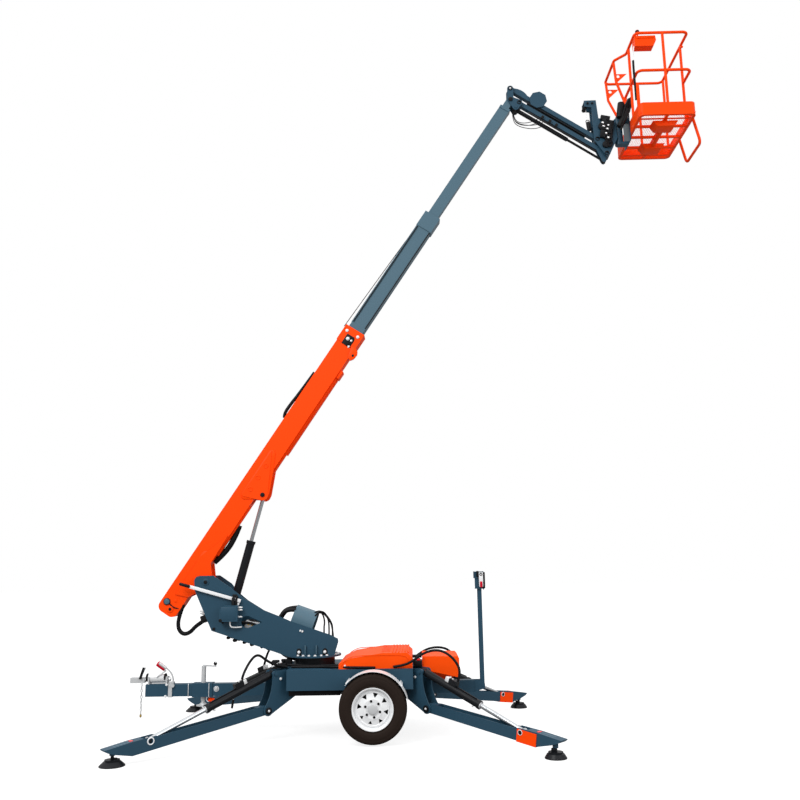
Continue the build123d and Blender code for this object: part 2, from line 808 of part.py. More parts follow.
# The right-hand plate is cut lower than the left one from the lift cylinder to its end.
far_drop = 42
far_trim = [
    (-925, 1517), (-852, 1467 - far_drop), (-743, 1379 - far_drop), (-539, 1253 - far_drop),
    (-353, 1179 - far_drop), (-232, 1126 - far_drop), (179, 985 - far_drop),
    (210, 969 - far_drop), (196, table_z + 2), (300, table_z + 2), (300, 1100), (-500, 1520),
]
with BuildPart() as turret_frame:
    with BuildSketch(Plane.XY.offset(table_z)):
        with Locations((slew_x, 0)):
            Circle(table_radius)
    extrude(amount=table_thick)
    with BuildSketch(Plane.XY.offset(deck_top + 20)):
        with Locations((slew_x, 0)):
            Circle(bearing_bore - run)
            Circle(bearing_bore - 30, mode=Mode.SUBTRACT)
    extrude(amount=bearing_high - 20)
    for level in (turret_gap, -turret_gap - turret_plate):
        with BuildSketch(side_view(slew_x, y=-level)):
            Polygon(*turret_outline, align=None)
            if level < 0:
                Polygon(*far_trim, align=None, mode=Mode.SUBTRACT)
            else:
                with Locations((-690, 1128)):
                    Circle(62, mode=Mode.SUBTRACT)
                with BuildLine():
                    Polyline((-680, 1189), (-530, 1124), (-680, 1067), close=True)
                make_face(mode=Mode.SUBTRACT)
        extrude(amount=turret_plate)
    # Cross pieces: the sloping floor between the plates and the wall over the bearing.
    with BuildSketch(side_view(slew_x)):
        with BuildLine():
            Polyline(
                (-1040, 1046), (-1040, 1060), (-396, 846), (-396, 832), close=True,
            )
        make_face()
        with Locations((200, table_z + table_thick)):
            Rectangle(12, 120, align=(Align.CENTER, Align.MIN))
        with Locations((-240, table_z + table_thick)):
            Rectangle(12, 200, align=(Align.CENTER, Align.MIN))
    extrude(amount=turret_gap + 1, both=True)
    with BuildSketch(side_view()):
        with Locations((boom_pivot_x, boom_pivot_z)):
            Circle(boom_pin)
        with Locations((lift_base_x, lift_base_z)):
            Circle(lift_pin)
    extrude(amount=turret_gap + turret_plate, both=True)
    for level in (32 + side_play, -turret_gap):
        with BuildSketch(side_view(y=-level)):
            with Locations((lift_base_x, lift_base_z)):
                Circle(lift_pin + 12)
        extrude(amount=turret_gap - 32 - side_play)
save(turret_frame.part, "turret_frame")

with BuildPart() as turret_box:
    with BuildSketch(side_view(slew_x, y=-turret_gap - turret_plate)):
        with BuildLine():
            Polyline(
                (-964, 1137), (-774, 1137), (-774, 1300), (-920, 1300), (-964, 1262), close=True,
            )
        make_face()
    extrude(amount=90)
save(turret_box.part, "turret_box")

with BuildPart() as hose_cover:
    with BuildSketch(
        Plane(
            origin=(slew_x + arch_x, 0, arch_z), x_dir=(0, 1, 0),
            z_dir=(cos(radians(arch_slope)), 0, -sin(radians(arch_slope))),
        )
    ):
        with Locations((0, -arch_leg)):
            Rectangle(2 * arch_radius, arch_leg, align=(Align.CENTER, Align.MIN))
        Circle(arch_radius)
        with Locations((0, -arch_leg)):
            Rectangle(
                2 * arch_radius - 12, arch_leg, align=(Align.CENTER, Align.MIN),
                mode=Mode.SUBTRACT,
            )
        Circle(arch_radius - 6, mode=Mode.SUBTRACT)
        with Locations((0, -arch_leg)):
            Rectangle(
                3 * arch_radius, 2 * arch_radius, align=(Align.CENTER, Align.MAX),
                mode=Mode.SUBTRACT,
            )
    extrude(amount=arch_long)
save(hose_cover.part, "hose_cover")

# ======================================================================== boom
ux, uz = cos(radians(boom_angle)), sin(radians(boom_angle))
tail_x = boom_pivot_x - pivot_along * ux - pivot_drop * uz
tail_z = boom_pivot_z - pivot_along * uz + pivot_drop * ux
boom_view = side_view(tail_x, tail_z, boom_angle)
boom_end = Plane(origin=(tail_x, 0, tail_z), x_dir=(-uz, 0, ux), z_dir=(ux, 0, uz))


def box_ring(outer, inner):
    """A box section drawn across the boom: depth first, then width."""
    Rectangle(*outer)
    Rectangle(*inner, mode=Mode.SUBTRACT)


with BuildPart() as boom_base:
    with BuildSketch(boom_view):
        with Locations((-tail_over, 0)):
            RectangleRounded(400, base_deep, tail_round, align=(Align.MIN, Align.CENTER))
        with Locations((200, 0)):
            Rectangle(base_end - 200, base_deep, align=(Align.MIN, Align.CENTER))
    extrude(amount=base_wide / 2, both=True)
    with BuildSketch(boom_view):
        with Locations((base_wall - tail_over, 0)):
            RectangleRounded(
                400, base_deep - 2 * base_wall, tail_round - base_wall,
                align=(Align.MIN, Align.CENTER),
            )
        with Locations((200, 0)):
            Rectangle(
                base_end - 195, base_deep - 2 * base_wall, align=(Align.MIN, Align.CENTER)
            )
    extrude(amount=base_wide / 2 - base_wall, both=True, mode=Mode.SUBTRACT)
    # The collar at the mouth, with the slide pads that guide the next section.
    with BuildSketch(boom_end.offset(base_end - collar_long)):
        box_ring(
            (base_deep + 2 * collar_thick, base_wide + 2 * collar_thick), (base_deep, base_wide)
        )
    extrude(amount=collar_long + 10)
    with BuildSketch(boom_end.offset(base_end - pad_long)):
        box_ring((base_deep, base_wide), (mid_deep + 2 * seat, mid_wide + 2 * seat))
    extrude(amount=pad_long + 10)
    # Pivot lug and the lift cylinder's bracket, on both sides of the box.
    for level in (base_wide / 2, -base_wide / 2 - lift_plate):
        with BuildSketch(boom_view.offset(level)):
            with BuildLine():
                Polyline(
                    (170, 20), (640, 20), (980, -100), (640, -base_deep / 2),
                    (pivot_along + 50, -pivot_drop - 30), (pivot_along - 50, -pivot_drop - 30),
                    (220, -base_deep / 2), close=True,
                )
            make_face()
            with Locations((pivot_along, -pivot_drop)):
                Circle(60)
        extrude(amount=lift_plate)
        with BuildSketch(boom_view.offset(level)):
            with BuildLine():
                Polyline(
                    (1408, 23), (1999, 20), (lift_along + 56, -lift_drop - 30),
                    (lift_along - 56, -lift_drop - 20), close=True,
                )
            make_face()
            with Locations((lift_along, -lift_drop)):
                Circle(60)
        extrude(amount=lift_plate)
    with BuildSketch(boom_view):
        with Locations((pivot_along, -pivot_drop)):
            Circle(45)
    extrude(amount=turret_gap - side_play, both=True)
    for level in (lift_gap, -base_wide / 2):
        with BuildSketch(boom_view.offset(level)):
            with Locations((lift_along, -lift_drop)):
                Circle(lift_pin)
        extrude(amount=base_wide / 2 - lift_gap)
    # The pocket in the underside that gives the rod's eye its room.
    with BuildSketch(boom_view):
        with Locations((lift_along, -base_deep / 2)):
            Rectangle(300, 2 * base_wall)
    extrude(amount=lift_gap + 6, both=True, mode=Mode.SUBTRACT)
    # The hose tray below the box.
    with BuildSketch(boom_view):
        with Locations((2040, -base_deep / 2)):
            Rectangle(1080, 30, align=(Align.MIN, Align.MAX))
    extrude(amount=30, both=True)
    with BuildSketch(boom_view):
        with Locations((15, -22)):
            Circle(18)
        with Locations((pivot_along, -pivot_drop)):
            Circle(boom_pin + run)
    extrude(amount=turret_gap + 10, both=True, mode=Mode.SUBTRACT)
save(boom_base.part, "boom_base")

with BuildPart() as boom_mid:
    with BuildSketch(boom_end.offset(mid_start)):
        box_ring((mid_deep, mid_wide), (mid_deep - 2 * mid_wall, mid_wide - 2 * mid_wall))
    extrude(amount=mid_end - mid_start)
    with BuildSketch(boom_end.offset(mid_start)):
        box_ring(
            (base_deep - 2 * base_wall - 2 * seat, base_wide - 2 * base_wall - 2 * seat),
            (mid_deep, mid_wide),
        )
    extrude(amount=pad_long)
    with BuildSketch(boom_end.offset(mid_end - collar_long)):
        box_ring((mid_deep + 2 * collar_thick, mid_wide + 2 * collar_thick), (mid_deep, mid_wide))
    extrude(amount=collar_long + 10)
    with BuildSketch(boom_end.offset(mid_end - pad_long)):
        box_ring((mid_deep, mid_wide), (inner_deep + 2 * seat, inner_wide + 2 * seat))
    extrude(amount=pad_long + 10)
save(boom_mid.part, "boom_mid")

with BuildPart() as boom_inner:
    with BuildSketch(boom_end.offset(inner_start)):
        box_ring(
            (inner_deep, inner_wide), (inner_deep - 2 * inner_wall, inner_wide - 2 * inner_wall)
        )
    extrude(amount=inner_end - inner_start)
    with BuildSketch(boom_end.offset(inner_start)):
        box_ring(
            (mid_deep - 2 * mid_wall - 2 * seat, mid_wide - 2 * mid_wall - 2 * seat),
            (inner_deep, inner_wide),
        )
    extrude(amount=pad_long)
    with BuildSketch(boom_view):
        with Locations((inner_end - 20, 0)):
            Rectangle(35, inner_deep, align=(Align.MIN, Align.CENTER))
        with Locations((inner_end, 0)):
            Rectangle(knuckle_along - inner_end, 84, align=(Align.MIN, Align.CENTER))
        with Locations((knuckle_along, 0)):
            Circle(46)
    extrude(amount=knuckle_gap - side_play, both=True)
    with BuildSketch(boom_view):
        with Locations((knuckle_along, 0)):
            Circle(jib_pin + run)
    extrude(amount=knuckle_gap + 1, both=True, mode=Mode.SUBTRACT)
save(boom_inner.part, "boom_inner")

# ---- lift cylinder
lift_end_x = tail_x + lift_along * ux + lift_drop * uz
lift_end_z = tail_z + lift_along * uz - lift_drop * ux
lift_dx, lift_dz = lift_end_x - lift_base_x, lift_end_z - lift_base_z
lift_long = hypot(lift_dx, lift_dz)
lift_view = Plane(
    origin=(lift_base_x, 0, lift_base_z), x_dir=(lift_dx, 0, lift_dz), z_dir=(0, -1, 0)
)
lift_across = Plane(
    origin=(lift_base_x, 0, lift_base_z), x_dir=(0, 1, 0), z_dir=(lift_dx, 0, lift_dz)
)
with BuildPart() as lift_barrel:
    with BuildSketch(lift_across.offset(lift_pin + 24)):
        Circle(lift_barrel_radius)
    extrude(amount=lift_barrel_long - lift_pin - 24)
    with BuildSketch(lift_across.offset(lift_barrel_long - 30)):
        Circle(lift_barrel_radius + 5)
    extrude(amount=30)
    with BuildSketch(lift_view):
        Circle(lift_pin + 16)
        Rectangle(lift_pin + 26, 54, align=(Align.MIN, Align.CENTER))
    extrude(amount=32, both=True)
    with BuildSketch(lift_view):
        Circle(lift_pin + run)
    extrude(amount=40, both=True, mode=Mode.SUBTRACT)
    with BuildSketch(lift_across.offset(60)):
        Circle(lift_rod_radius + run)
    extrude(amount=lift_barrel_long, mode=Mode.SUBTRACT)
save(lift_barrel.part, "lift_barrel")

with BuildPart() as lift_rod:
    with BuildSketch(lift_across.offset(lift_rod_tail)):
        Circle(lift_rod_radius)
    extrude(amount=lift_long - lift_rod_tail)
    with BuildSketch(lift_view):
        with Locations((lift_long, 0)):
            Circle(lift_eye_radius)
    extrude(amount=lift_eye_half, both=True)
    with BuildSketch(lift_view):
        with Locations((lift_long, 0)):
            Circle(12)
    extrude(amount=lift_eye_half + 1, both=True, mode=Mode.SUBTRACT)
save(lift_rod.part, "lift_rod")

# ======================================================================== jib
knuckle_x = tail_x + knuckle_along * ux
knuckle_z = tail_z + knuckle_along * uz
low_x, low_z = knuckle_x + jib_low_pin[0], knuckle_z + jib_low_pin[1]
top_x, top_z = knuckle_x + jib_top_pin[0], knuckle_z + jib_top_pin[1]
base_x, base_z = knuckle_x + jib_base_pin[0], knuckle_z + jib_base_pin[1]
jx, jz = cos(radians(jib_angle)), sin(radians(jib_angle))
far_low = (low_x + jib_long * jx, low_z + jib_long * jz)
far_top = (top_x + jib_long * jx, top_z + jib_long * jz)
eye_x = low_x + jib_eye_along * jx + jib_eye_drop * jz
eye_z = low_z + jib_eye_along * jz - jib_eye_drop * jx

with BuildPart() as knuckle:
    for level in (knuckle_gap, -knuckle_gap - knuckle_plate):
        with BuildSketch(side_view(knuckle_x, knuckle_z, y=-level)):
            for group in (((0, 0), jib_top_pin), ((0, 0), jib_low_pin, jib_base_pin)):
                with BuildSketch(mode=Mode.PRIVATE) as web:
                    with Locations(*group):
                        Circle(36)
                    make_hull()
                add(web.sketch)
        extrude(amount=knuckle_plate)
    with BuildSketch(side_view(knuckle_x, knuckle_z)):
        with Locations((0, 0), jib_top_pin, jib_base_pin):
            Circle(jib_pin)
    extrude(amount=knuckle_gap + knuckle_plate + 6, both=True)
    # The lower bar turns on two stub pins, which leave the cylinder its room.
    stub = knuckle_gap + knuckle_plate + 6 - bar_half + bar_wall
    for level in (bar_half - bar_wall, -bar_half + bar_wall - stub):
        with BuildSketch(side_view(knuckle_x, knuckle_z, y=-level)):
            with Locations(jib_low_pin):
                Circle(jib_pin)
        extrude(amount=stub)
save(knuckle.part, "knuckle")

jib_low_view = side_view(low_x, low_z, jib_angle)
jib_top_view = side_view(top_x, top_z, jib_angle)
with BuildPart() as jib_lower:
    with BuildSketch(jib_low_view):
        with Locations((0, low_lift)):
            Rectangle(jib_long, bar_deep, align=(Align.MIN, Align.CENTER))
    extrude(amount=bar_half, both=True)
    with BuildSketch(jib_low_view):
        with Locations((0, 0), (jib_long, 0)):
            Circle(jib_boss)
    extrude(amount=knuckle_gap - side_play, both=True)
    # The bar is a channel, open below, so that the cylinder can fold into it.
    with BuildSketch(jib_low_view):
        with Locations((-40, bar_deep / 2 + low_lift - bar_wall)):
            Rectangle(jib_long - 20, 110, align=(Align.MIN, Align.MAX))
        with Locations((-40, 0)):
            Rectangle(fork_long + 40, 110, align=(Align.MIN, Align.CENTER))
    extrude(amount=bar_half - bar_wall, both=True, mode=Mode.SUBTRACT)
    # Lugs below the outer end for the cylinder's eye.
    for level in (bar_half - 12, -bar_half):
        with BuildSketch(jib_low_view.offset(level)):
            with BuildLine():
                Polyline(
                    (jib_long - 130, -10), (jib_long - 10, -10), (jib_eye_along + 20, -jib_eye_drop),
                    (jib_eye_along - 20, -jib_eye_drop - 20), close=True,
                )
            make_face()
            with Locations((jib_eye_along, -jib_eye_drop)):
                Circle(26)
        extrude(amount=12)
    with BuildSketch(jib_low_view):
        with Locations((0, 0), (jib_long, 0)):
            Circle(jib_pin + run)
    extrude(amount=knuckle_gap + 1, both=True, mode=Mode.SUBTRACT)
save(jib_lower.part, "jib_lower")

with BuildPart() as jib_upper:
    with BuildSketch(jib_top_view):
        with Locations((0, top_lift)):
            Rectangle(jib_long, bar_deep, align=(Align.MIN, Align.CENTER))
    extrude(amount=bar_half, both=True)
    with BuildSketch(jib_top_view):
        with Locations((0, 0), (jib_long, 0)):
            Circle(jib_boss)
    extrude(amount=knuckle_gap - side_play, both=True)
    # The eight-sided cover, held off the bar, and the bent plate that guides the hoses.
    with BuildSketch(jib_top_view.offset(bar_half)):
        with Locations((cover_along, top_lift)):
            Rectangle(120, bar_deep - 10)
    extrude(amount=6)
    with BuildSketch(jib_top_view.offset(bar_half + 6)):
        with Locations((cover_along, cover_rise)):
            RegularPolygon(cover_radius, 8, rotation=22.5)
    extrude(amount=10)
    with BuildSketch(jib_top_view.offset(bar_half - 14)):
        with BuildLine():
            ThreePointArc((16, top_lift + 12), (118, top_lift + 46), (238, top_lift + 12))
            Line((238, top_lift + 12), (16, top_lift + 12))
        make_face()
    extrude(amount=14)
    with BuildSketch(jib_top_view):
        with Locations((0, 0), (jib_long, 0)):
            Circle(jib_pin + run)
    extrude(amount=knuckle_gap + 1, both=True, mode=Mode.SUBTRACT)
save(jib_upper.part, "jib_upper")

jib_dx, jib_dz = eye_x - base_x, eye_z - base_z
jib_span = hypot(jib_dx, jib_dz)
jib_view = Plane(origin=(base_x, 0, base_z), x_dir=(jib_dx, 0, jib_dz), z_dir=(0, -1, 0))
jib_across = Plane(origin=(base_x, 0, base_z), x_dir=(0, 1, 0), z_dir=(jib_dx, 0, jib_dz))
with BuildPart() as jib_barrel:
    with BuildSketch(jib_across.offset(14)):
        Circle(jib_barrel_radius)
    extrude(amount=jib_barrel_long - 14)
    with BuildSketch(jib_view):
        Circle(jib_boss)
    extrude(amount=knuckle_gap - side_play, both=True)
    with BuildSketch(jib_view):
        Circle(jib_pin + run)
    extrude(amount=knuckle_gap + 1, both=True, mode=Mode.SUBTRACT)
    with BuildSketch(jib_across.offset(44)):
        Circle(jib_rod_radius + run)
    extrude(amount=jib_barrel_long, mode=Mode.SUBTRACT)
save(jib_barrel.part, "jib_barrel")

with BuildPart() as jib_rod:
    with BuildSketch(jib_across.offset(jib_rod_tail)):
        Circle(jib_rod_radius)
    extrude(amount=jib_span - jib_rod_tail)
    with BuildSketch(jib_view):
        with Locations((jib_span, 0)):
            Circle(jib_eye_radius)
    extrude(amount=jib_eye_half, both=True)
    with BuildSketch(jib_view):
        with Locations((jib_span, 0)):
            Circle(9)
    extrude(amount=jib_eye_half + 1, both=True, mode=Mode.SUBTRACT)
save(jib_rod.part, "jib_rod")

with BuildPart() as jib_head:
    for level in (knuckle_gap, -knuckle_gap - knuckle_plate):
        with BuildSketch(side_view(y=-level)):
            with BuildLine():
                Polyline(
                    (far_top[0] - 38, far_top[1] - 16), (far_top[0] - 50, mast_top - 86),
                    (far_top[0] - 132, mast_top - 76), (far_top[0] - 132, mast_top),
                    (far_top[0] + 8, mast_top + 2), (far_top[0] + 26, swivel_end + 24),
                    (swivel_x - 52, swivel_end - 12), (swivel_x - 30, swivel_bottom + 40),
                    (far_low[0] + 32, far_low[1] - 24), (far_low[0] - 10, far_low[1] - 32),
                    close=True,
                )
            make_face()
        extrude(amount=knuckle_plate)
    with BuildSketch(side_view()):
        with Locations(far_top, far_low):
            Circle(jib_pin)
    extrude(amount=knuckle_gap + knuckle_plate + 6, both=True)
    with BuildSketch(Plane.XY.offset(mast_top - 12)):
        with Locations((far_top[0] - 62, 0)):
            Rectangle(134, 2 * knuckle_gap + 4)
    extrude(amount=12)
    with BuildSketch(Plane.XY.offset(swivel_bottom)):
        with Locations((swivel_x, 0)):
            Circle(swivel_radius)
    extrude(amount=swivel_end - swivel_bottom)
    with BuildSketch(Plane.XY.offset(swivel_bottom + 40)):
        with Locations((swivel_x - 60, 0)):
            Rectangle(60, 2 * knuckle_gap + 4)
    extrude(amount=swivel_end - swivel_bottom - 80)
    with BuildSketch(Plane.XY.offset(swivel_bottom - 1)):
        with Locations((swivel_x, 0)):
            Circle(swivel_pin + run)
    extrude(amount=swivel_end - swivel_bottom + 40, mode=Mode.SUBTRACT)
save(jib_head.part, "jib_head")

# ======================================================================== platform
skirt = tube_radius + 2     # the kick plate's outer side, from the middle of the rails
with BuildPart() as basket_mount:
    with BuildSketch(Plane.XY.offset(swivel_bottom - 30)):
        with Locations((swivel_x, 0)):
            Circle(swivel_pin)
    extrude(amount=swivel_end - swivel_bottom + 90)
    for low in (swivel_bottom - 30 - seat, swivel_end + seat):
        with BuildSketch(Plane.XY.offset(low)):
            with Locations((swivel_x, 0)):
                Circle(swivel_radius)
            with Locations((swivel_x, 0)):
                Rectangle(basket_left - skirt - swivel_x, 90, align=(Align.MIN, Align.CENTER))
        extrude(amount=30)
    with BuildSketch(Plane.YZ.offset(basket_left - skirt - 12)):
        with Locations((0, (swivel_bottom + swivel_end) / 2)):
            Rectangle(260, swivel_end - swivel_bottom + 60)
    extrude(amount=12)
save(basket_mount.part, "basket_mount")

mid_x = (basket_left + basket_right) / 2
step_out = 66
step_drop = 250
gate_y = -235
bump_x = basket_left - bump_out


post_radius = tube_radius - 0.5
step_x = basket_right + skirt + tube_radius - 1
kick_z = floor_z + floor_deep
box_deep = 128          # the control box, hung below the top rail
floor_wide = basket_right - basket_left + 2 * skirt - 2 * kick_thick
floor_long = 2 * basket_half + 2 * skirt - 2 * kick_thick
tube_runs = [
    # points, tube radius, bend radius, closed ring
    ([
        (basket_right, -basket_half, top_rail_z), (basket_right, basket_half, top_rail_z),
        (bump_x, basket_half, top_rail_z), (bump_x, 10, top_rail_z),
        (basket_left, -120, top_rail_z), (basket_left, -basket_half, top_rail_z),
    ], tube_radius, 60, True),
    ([
        (basket_right, gate_y, mid_rail_z), (basket_right, -basket_half, mid_rail_z),
        (basket_left, -basket_half, mid_rail_z), (basket_left, basket_half - 60, mid_rail_z),
    ], tube_radius, 60, False),
    # The step hung below the right side.
    ([
        (step_x, -350, floor_z + 60), (step_x + step_out, -350, floor_z - step_drop),
        (step_x + step_out, 150, floor_z - step_drop), (step_x, 150, floor_z + 60),
    ], tube_radius, 55, False),
]
for y, low in ((40, mid_rail_z - 110), (basket_half - 60, mid_rail_z - 15)):
    points = [
        (bump_x, y, top_rail_z), (bump_x + 16, y, top_rail_z - 260), (basket_left, y, low),
    ]
    tube_runs.append((points, post_radius, 60, False))
for x, y, high in (
    (mid_x + 10, -basket_half, top_rail_z), (basket_right, gate_y, top_rail_z),
    (basket_left + 0.5, -226, top_rail_z), (basket_right, basket_half - 60, top_rail_z),
    (basket_left, 40, mid_rail_z), (basket_left, basket_half - 60, mid_rail_z),
    (mid_x, basket_half, top_rail_z),
):
    tube_runs.append(([(x, y, kick_z + 5), (x, y, high)], post_radius, 0, False))

with BuildPart() as basket_frame:
    for points, radius, bend, ring in tube_runs:
        with BuildLine() as path:
            if bend:
                FilletPolyline(*points, radius=bend, close=ring)
            else:
                Polyline(*points)
        wire = path.wires()[0]
        with BuildSketch(Plane(origin=wire @ 0, z_dir=wire % 0)):
            Circle(radius)
        sweep(path=wire)
    # Kick plate round the floor.
    with BuildSketch(Plane.XY.offset(floor_z)):
        with Locations((mid_x, 0)):
            RectangleRounded(floor_wide + 2 * kick_thick, floor_long + 2 * kick_thick, 60)
            RectangleRounded(floor_wide, floor_long, 57, mode=Mode.SUBTRACT)
    extrude(amount=kick_high)
save(basket_frame.part, "basket_frame")

with BuildPart() as basket_floor:
    with BuildSketch(Plane.XY.offset(floor_z)):
        with Locations((mid_x, 0)):
            RectangleRounded(floor_wide, floor_long, 57)
            RectangleRounded(floor_wide - 60, floor_long - 60, 40, mode=Mode.SUBTRACT)
            Rectangle(30, floor_long - 20)
            for y in (-250, 0, 250):
                with Locations((0, y)):
                    Rectangle(floor_wide - 20, 26)
    extrude(amount=floor_deep)
save(basket_floor.part, "basket_floor")

with BuildPart() as floor_panels:
    with BuildSketch(Plane.XY.offset(kick_z)):
        with Locations((mid_x, 0)):
            RectangleRounded(floor_wide, floor_long, 57)
    extrude(amount=3)
save(floor_panels.part, "floor_panels")

box_top = top_rail_z - tube_radius - seat
with BuildPart() as platform_box:
    with BuildSketch(side_view(y=-basket_half + tube_radius + 120)):
        with BuildLine():
            Polyline(
                (basket_left, box_top), (basket_left + 236, box_top),
                (basket_left + 244, box_top - 58), (basket_left + 212, box_top - box_deep),
                (basket_left, box_top - box_deep), close=True,
            )
        make_face()
    extrude(amount=110)
    with BuildSketch(Plane.XY.offset(box_top - 1)):
        with Locations((basket_left + 40, -basket_half + 40)):
            Circle(7)
    extrude(amount=60)
    with Locations((basket_left + 40, -basket_half + 40, top_rail_z + 42)):
        Sphere(24)
save(platform_box.part, "platform_box")
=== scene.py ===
# %% [markdown]
# # A trailer boom lift on its outriggers
# The solid model of the machine is loaded first and stays where it is. Everything else in this
# file is paint, light and the small pieces that a maker would add last: bolts, tread, mesh,
# hoses and handles. Each of those is modelled where it sits on the machine, in metres.

import json
from math import atan2, cos, degrees, hypot, pi, radians, sin

import bpy
from mathutils import Matrix, Vector


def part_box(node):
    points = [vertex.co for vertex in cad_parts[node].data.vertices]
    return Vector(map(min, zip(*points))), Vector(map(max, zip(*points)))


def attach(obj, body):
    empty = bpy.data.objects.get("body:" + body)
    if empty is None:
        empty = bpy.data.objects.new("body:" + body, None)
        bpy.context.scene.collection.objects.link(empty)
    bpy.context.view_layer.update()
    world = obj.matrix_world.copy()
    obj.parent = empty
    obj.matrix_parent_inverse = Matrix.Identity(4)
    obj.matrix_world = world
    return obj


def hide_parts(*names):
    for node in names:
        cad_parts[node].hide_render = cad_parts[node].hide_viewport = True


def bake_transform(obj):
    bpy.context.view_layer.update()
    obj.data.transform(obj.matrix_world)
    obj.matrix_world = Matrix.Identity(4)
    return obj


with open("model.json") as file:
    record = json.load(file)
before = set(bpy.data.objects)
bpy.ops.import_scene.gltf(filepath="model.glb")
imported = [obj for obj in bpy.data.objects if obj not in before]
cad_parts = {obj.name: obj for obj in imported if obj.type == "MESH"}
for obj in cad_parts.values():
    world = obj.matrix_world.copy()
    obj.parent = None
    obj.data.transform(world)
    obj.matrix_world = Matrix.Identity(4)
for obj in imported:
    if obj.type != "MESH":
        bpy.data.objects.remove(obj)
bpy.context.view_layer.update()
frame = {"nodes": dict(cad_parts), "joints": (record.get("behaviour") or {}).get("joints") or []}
joint_at = {row["name"]: Vector(row["pos_m"]) for row in frame["joints"] if "pos_m" in row}
UP = Vector((0, 0, 1))
HANDS = (-1, 1)  # the machine's left side, nearest the camera, and its right side

# %% [markdown]
# ## Camera
# The machine is 7.7 m high and is seen from its left side, from eye height. A camera
# that near has to look up, so its place, its tilt and its lens are given as numbers and the
# matrix is built from them. This is steadier than a Track To constraint, which can't roll.

# %% Camera
camera_place = Vector((-0.184, -9.293, 1.677))
yaw, pitch, roll = radians(0.815), radians(11.035), radians(-0.945)
ahead = Vector((-sin(yaw) * cos(pitch), cos(yaw) * cos(pitch), sin(pitch)))
right = Vector((cos(yaw), sin(yaw), 0))
above = right.cross(ahead)
camera_right = right * cos(roll) + above * sin(roll)
camera_up = above * cos(roll) - right * sin(roll)

bpy.ops.object.camera_add()
camera = bpy.context.object
camera.name = "camera"
camera.data.lens = 38.25
camera.data.sensor_width = 36
camera.data.clip_end = 200
turn = Matrix((camera_right, camera_up, -ahead)).transposed().to_4x4()
camera.matrix_world = Matrix.Translation(camera_place) @ turn
bpy.context.scene.camera = camera

# %% [markdown]
# ## Studio
# A white room: the world is white where the camera sees it. Where it lights the machine it is
# bright above and dim below, which gives dark undersides. One large lamp from the left and above
# gives form. The floor glows a little for the camera so that it meets the background without a
# line, and is partly matte so that it still shows the shadow.


# %% Studio helpers
def empty_tree(owner):
    """The empty node tree of a material or a world."""
    owner.use_nodes = True
    owner.node_tree.nodes.clear()
    return owner.node_tree


def node(tree, kind, **values):
    """A shader node. Each value sets a socket, or is an output that feeds it, and an
    underscore stands for a space."""
    made = tree.nodes.new("ShaderNode" + kind)
    for name, value in values.items():
        socket = made.inputs[name.replace("_", " ")]
        if isinstance(value, bpy.types.NodeSocket):
            tree.links.new(value, socket)
        else:
            socket.default_value = value
    return made


def mix(tree, share, first, second):
    """A blend of two shaders."""
    made = tree.nodes.new("ShaderNodeMixShader")
    if isinstance(share, float):
        made.inputs[0].default_value = share
    else:
        tree.links.new(share, made.inputs[0])
    tree.links.new(first.outputs[0], made.inputs[1])
    tree.links.new(second.outputs[0], made.inputs[2])
    return made


def seen(tree):
    """1 where the camera looks, and 0 for light and reflections."""
    return node(tree, "LightPath").outputs["Is Camera Ray"]


# %% World, floor and lamps
view = bpy.context.scene.view_settings
view.view_transform = "Standard"

world = bpy.data.worlds.new("white room")
bpy.context.scene.world = world
tree = empty_tree(world)
height = node(tree, "SeparateXYZ", Vector=node(tree, "TexCoord").outputs["Generated"])
from_above = node(tree, "MapRange", Value=height.outputs["Z"], From_Min=-0.1, From_Max=0.9,
                  To_Min=0.1, To_Max=1.45)
light = node(tree, "Background", Color=(1, 1, 1, 1), Strength=from_above.outputs["Result"])
glow = node(tree, "Background", Color=(1, 1, 1, 1))
node(tree, "OutputWorld", Surface=mix(tree, seen(tree), light, glow).outputs[0])

bpy.ops.mesh.primitive_plane_add(size=120, location=(0, 0, -0.002))
floor = bpy.context.object
floor.name = "floor"
floor_paint = bpy.data.materials.new("floor")
tree = empty_tree(floor_paint)
matte = node(tree, "BsdfDiffuse", Color=(0.9, 0.9, 0.9, 1))
bounce = node(tree, "BsdfDiffuse", Color=(0.3, 0.3, 0.3, 1))
glowing = mix(tree, 0.7, matte, node(tree, "Emission", Strength=1.19))
node(tree, "OutputMaterial", Surface=mix(tree, seen(tree), bounce, glowing).outputs[0])
floor.data.materials.append(floor_paint)


def area_lamp(name, place, target, size, watts):
    """A square lamp that looks at its target."""
    bpy.ops.object.light_add(type="AREA", location=place)
    lamp = bpy.context.object
    lamp.name = name
    lamp.data.size = size
    lamp.data.energy = watts
    lamp.rotation_euler = (Vector(target) - Vector(place)).to_track_quat("-Z", "Y").to_euler()


area_lamp("key lamp", (-7, -10, 11), (0, 0, 2.5), 6, 1150)
area_lamp("fill lamp", (9, -9, 6), (0, 0, 2.5), 7, 380)

# %% [markdown]
# ## Paints and finishes
# Every finish is a Principled shader. A slow noise on Object coordinates moves the roughness, so
# that large plates don't look like plastic sheet. Paint on steel is never quite flat either, so
# a fine noise drives a weak bump: the soft waviness that is called orange peel.


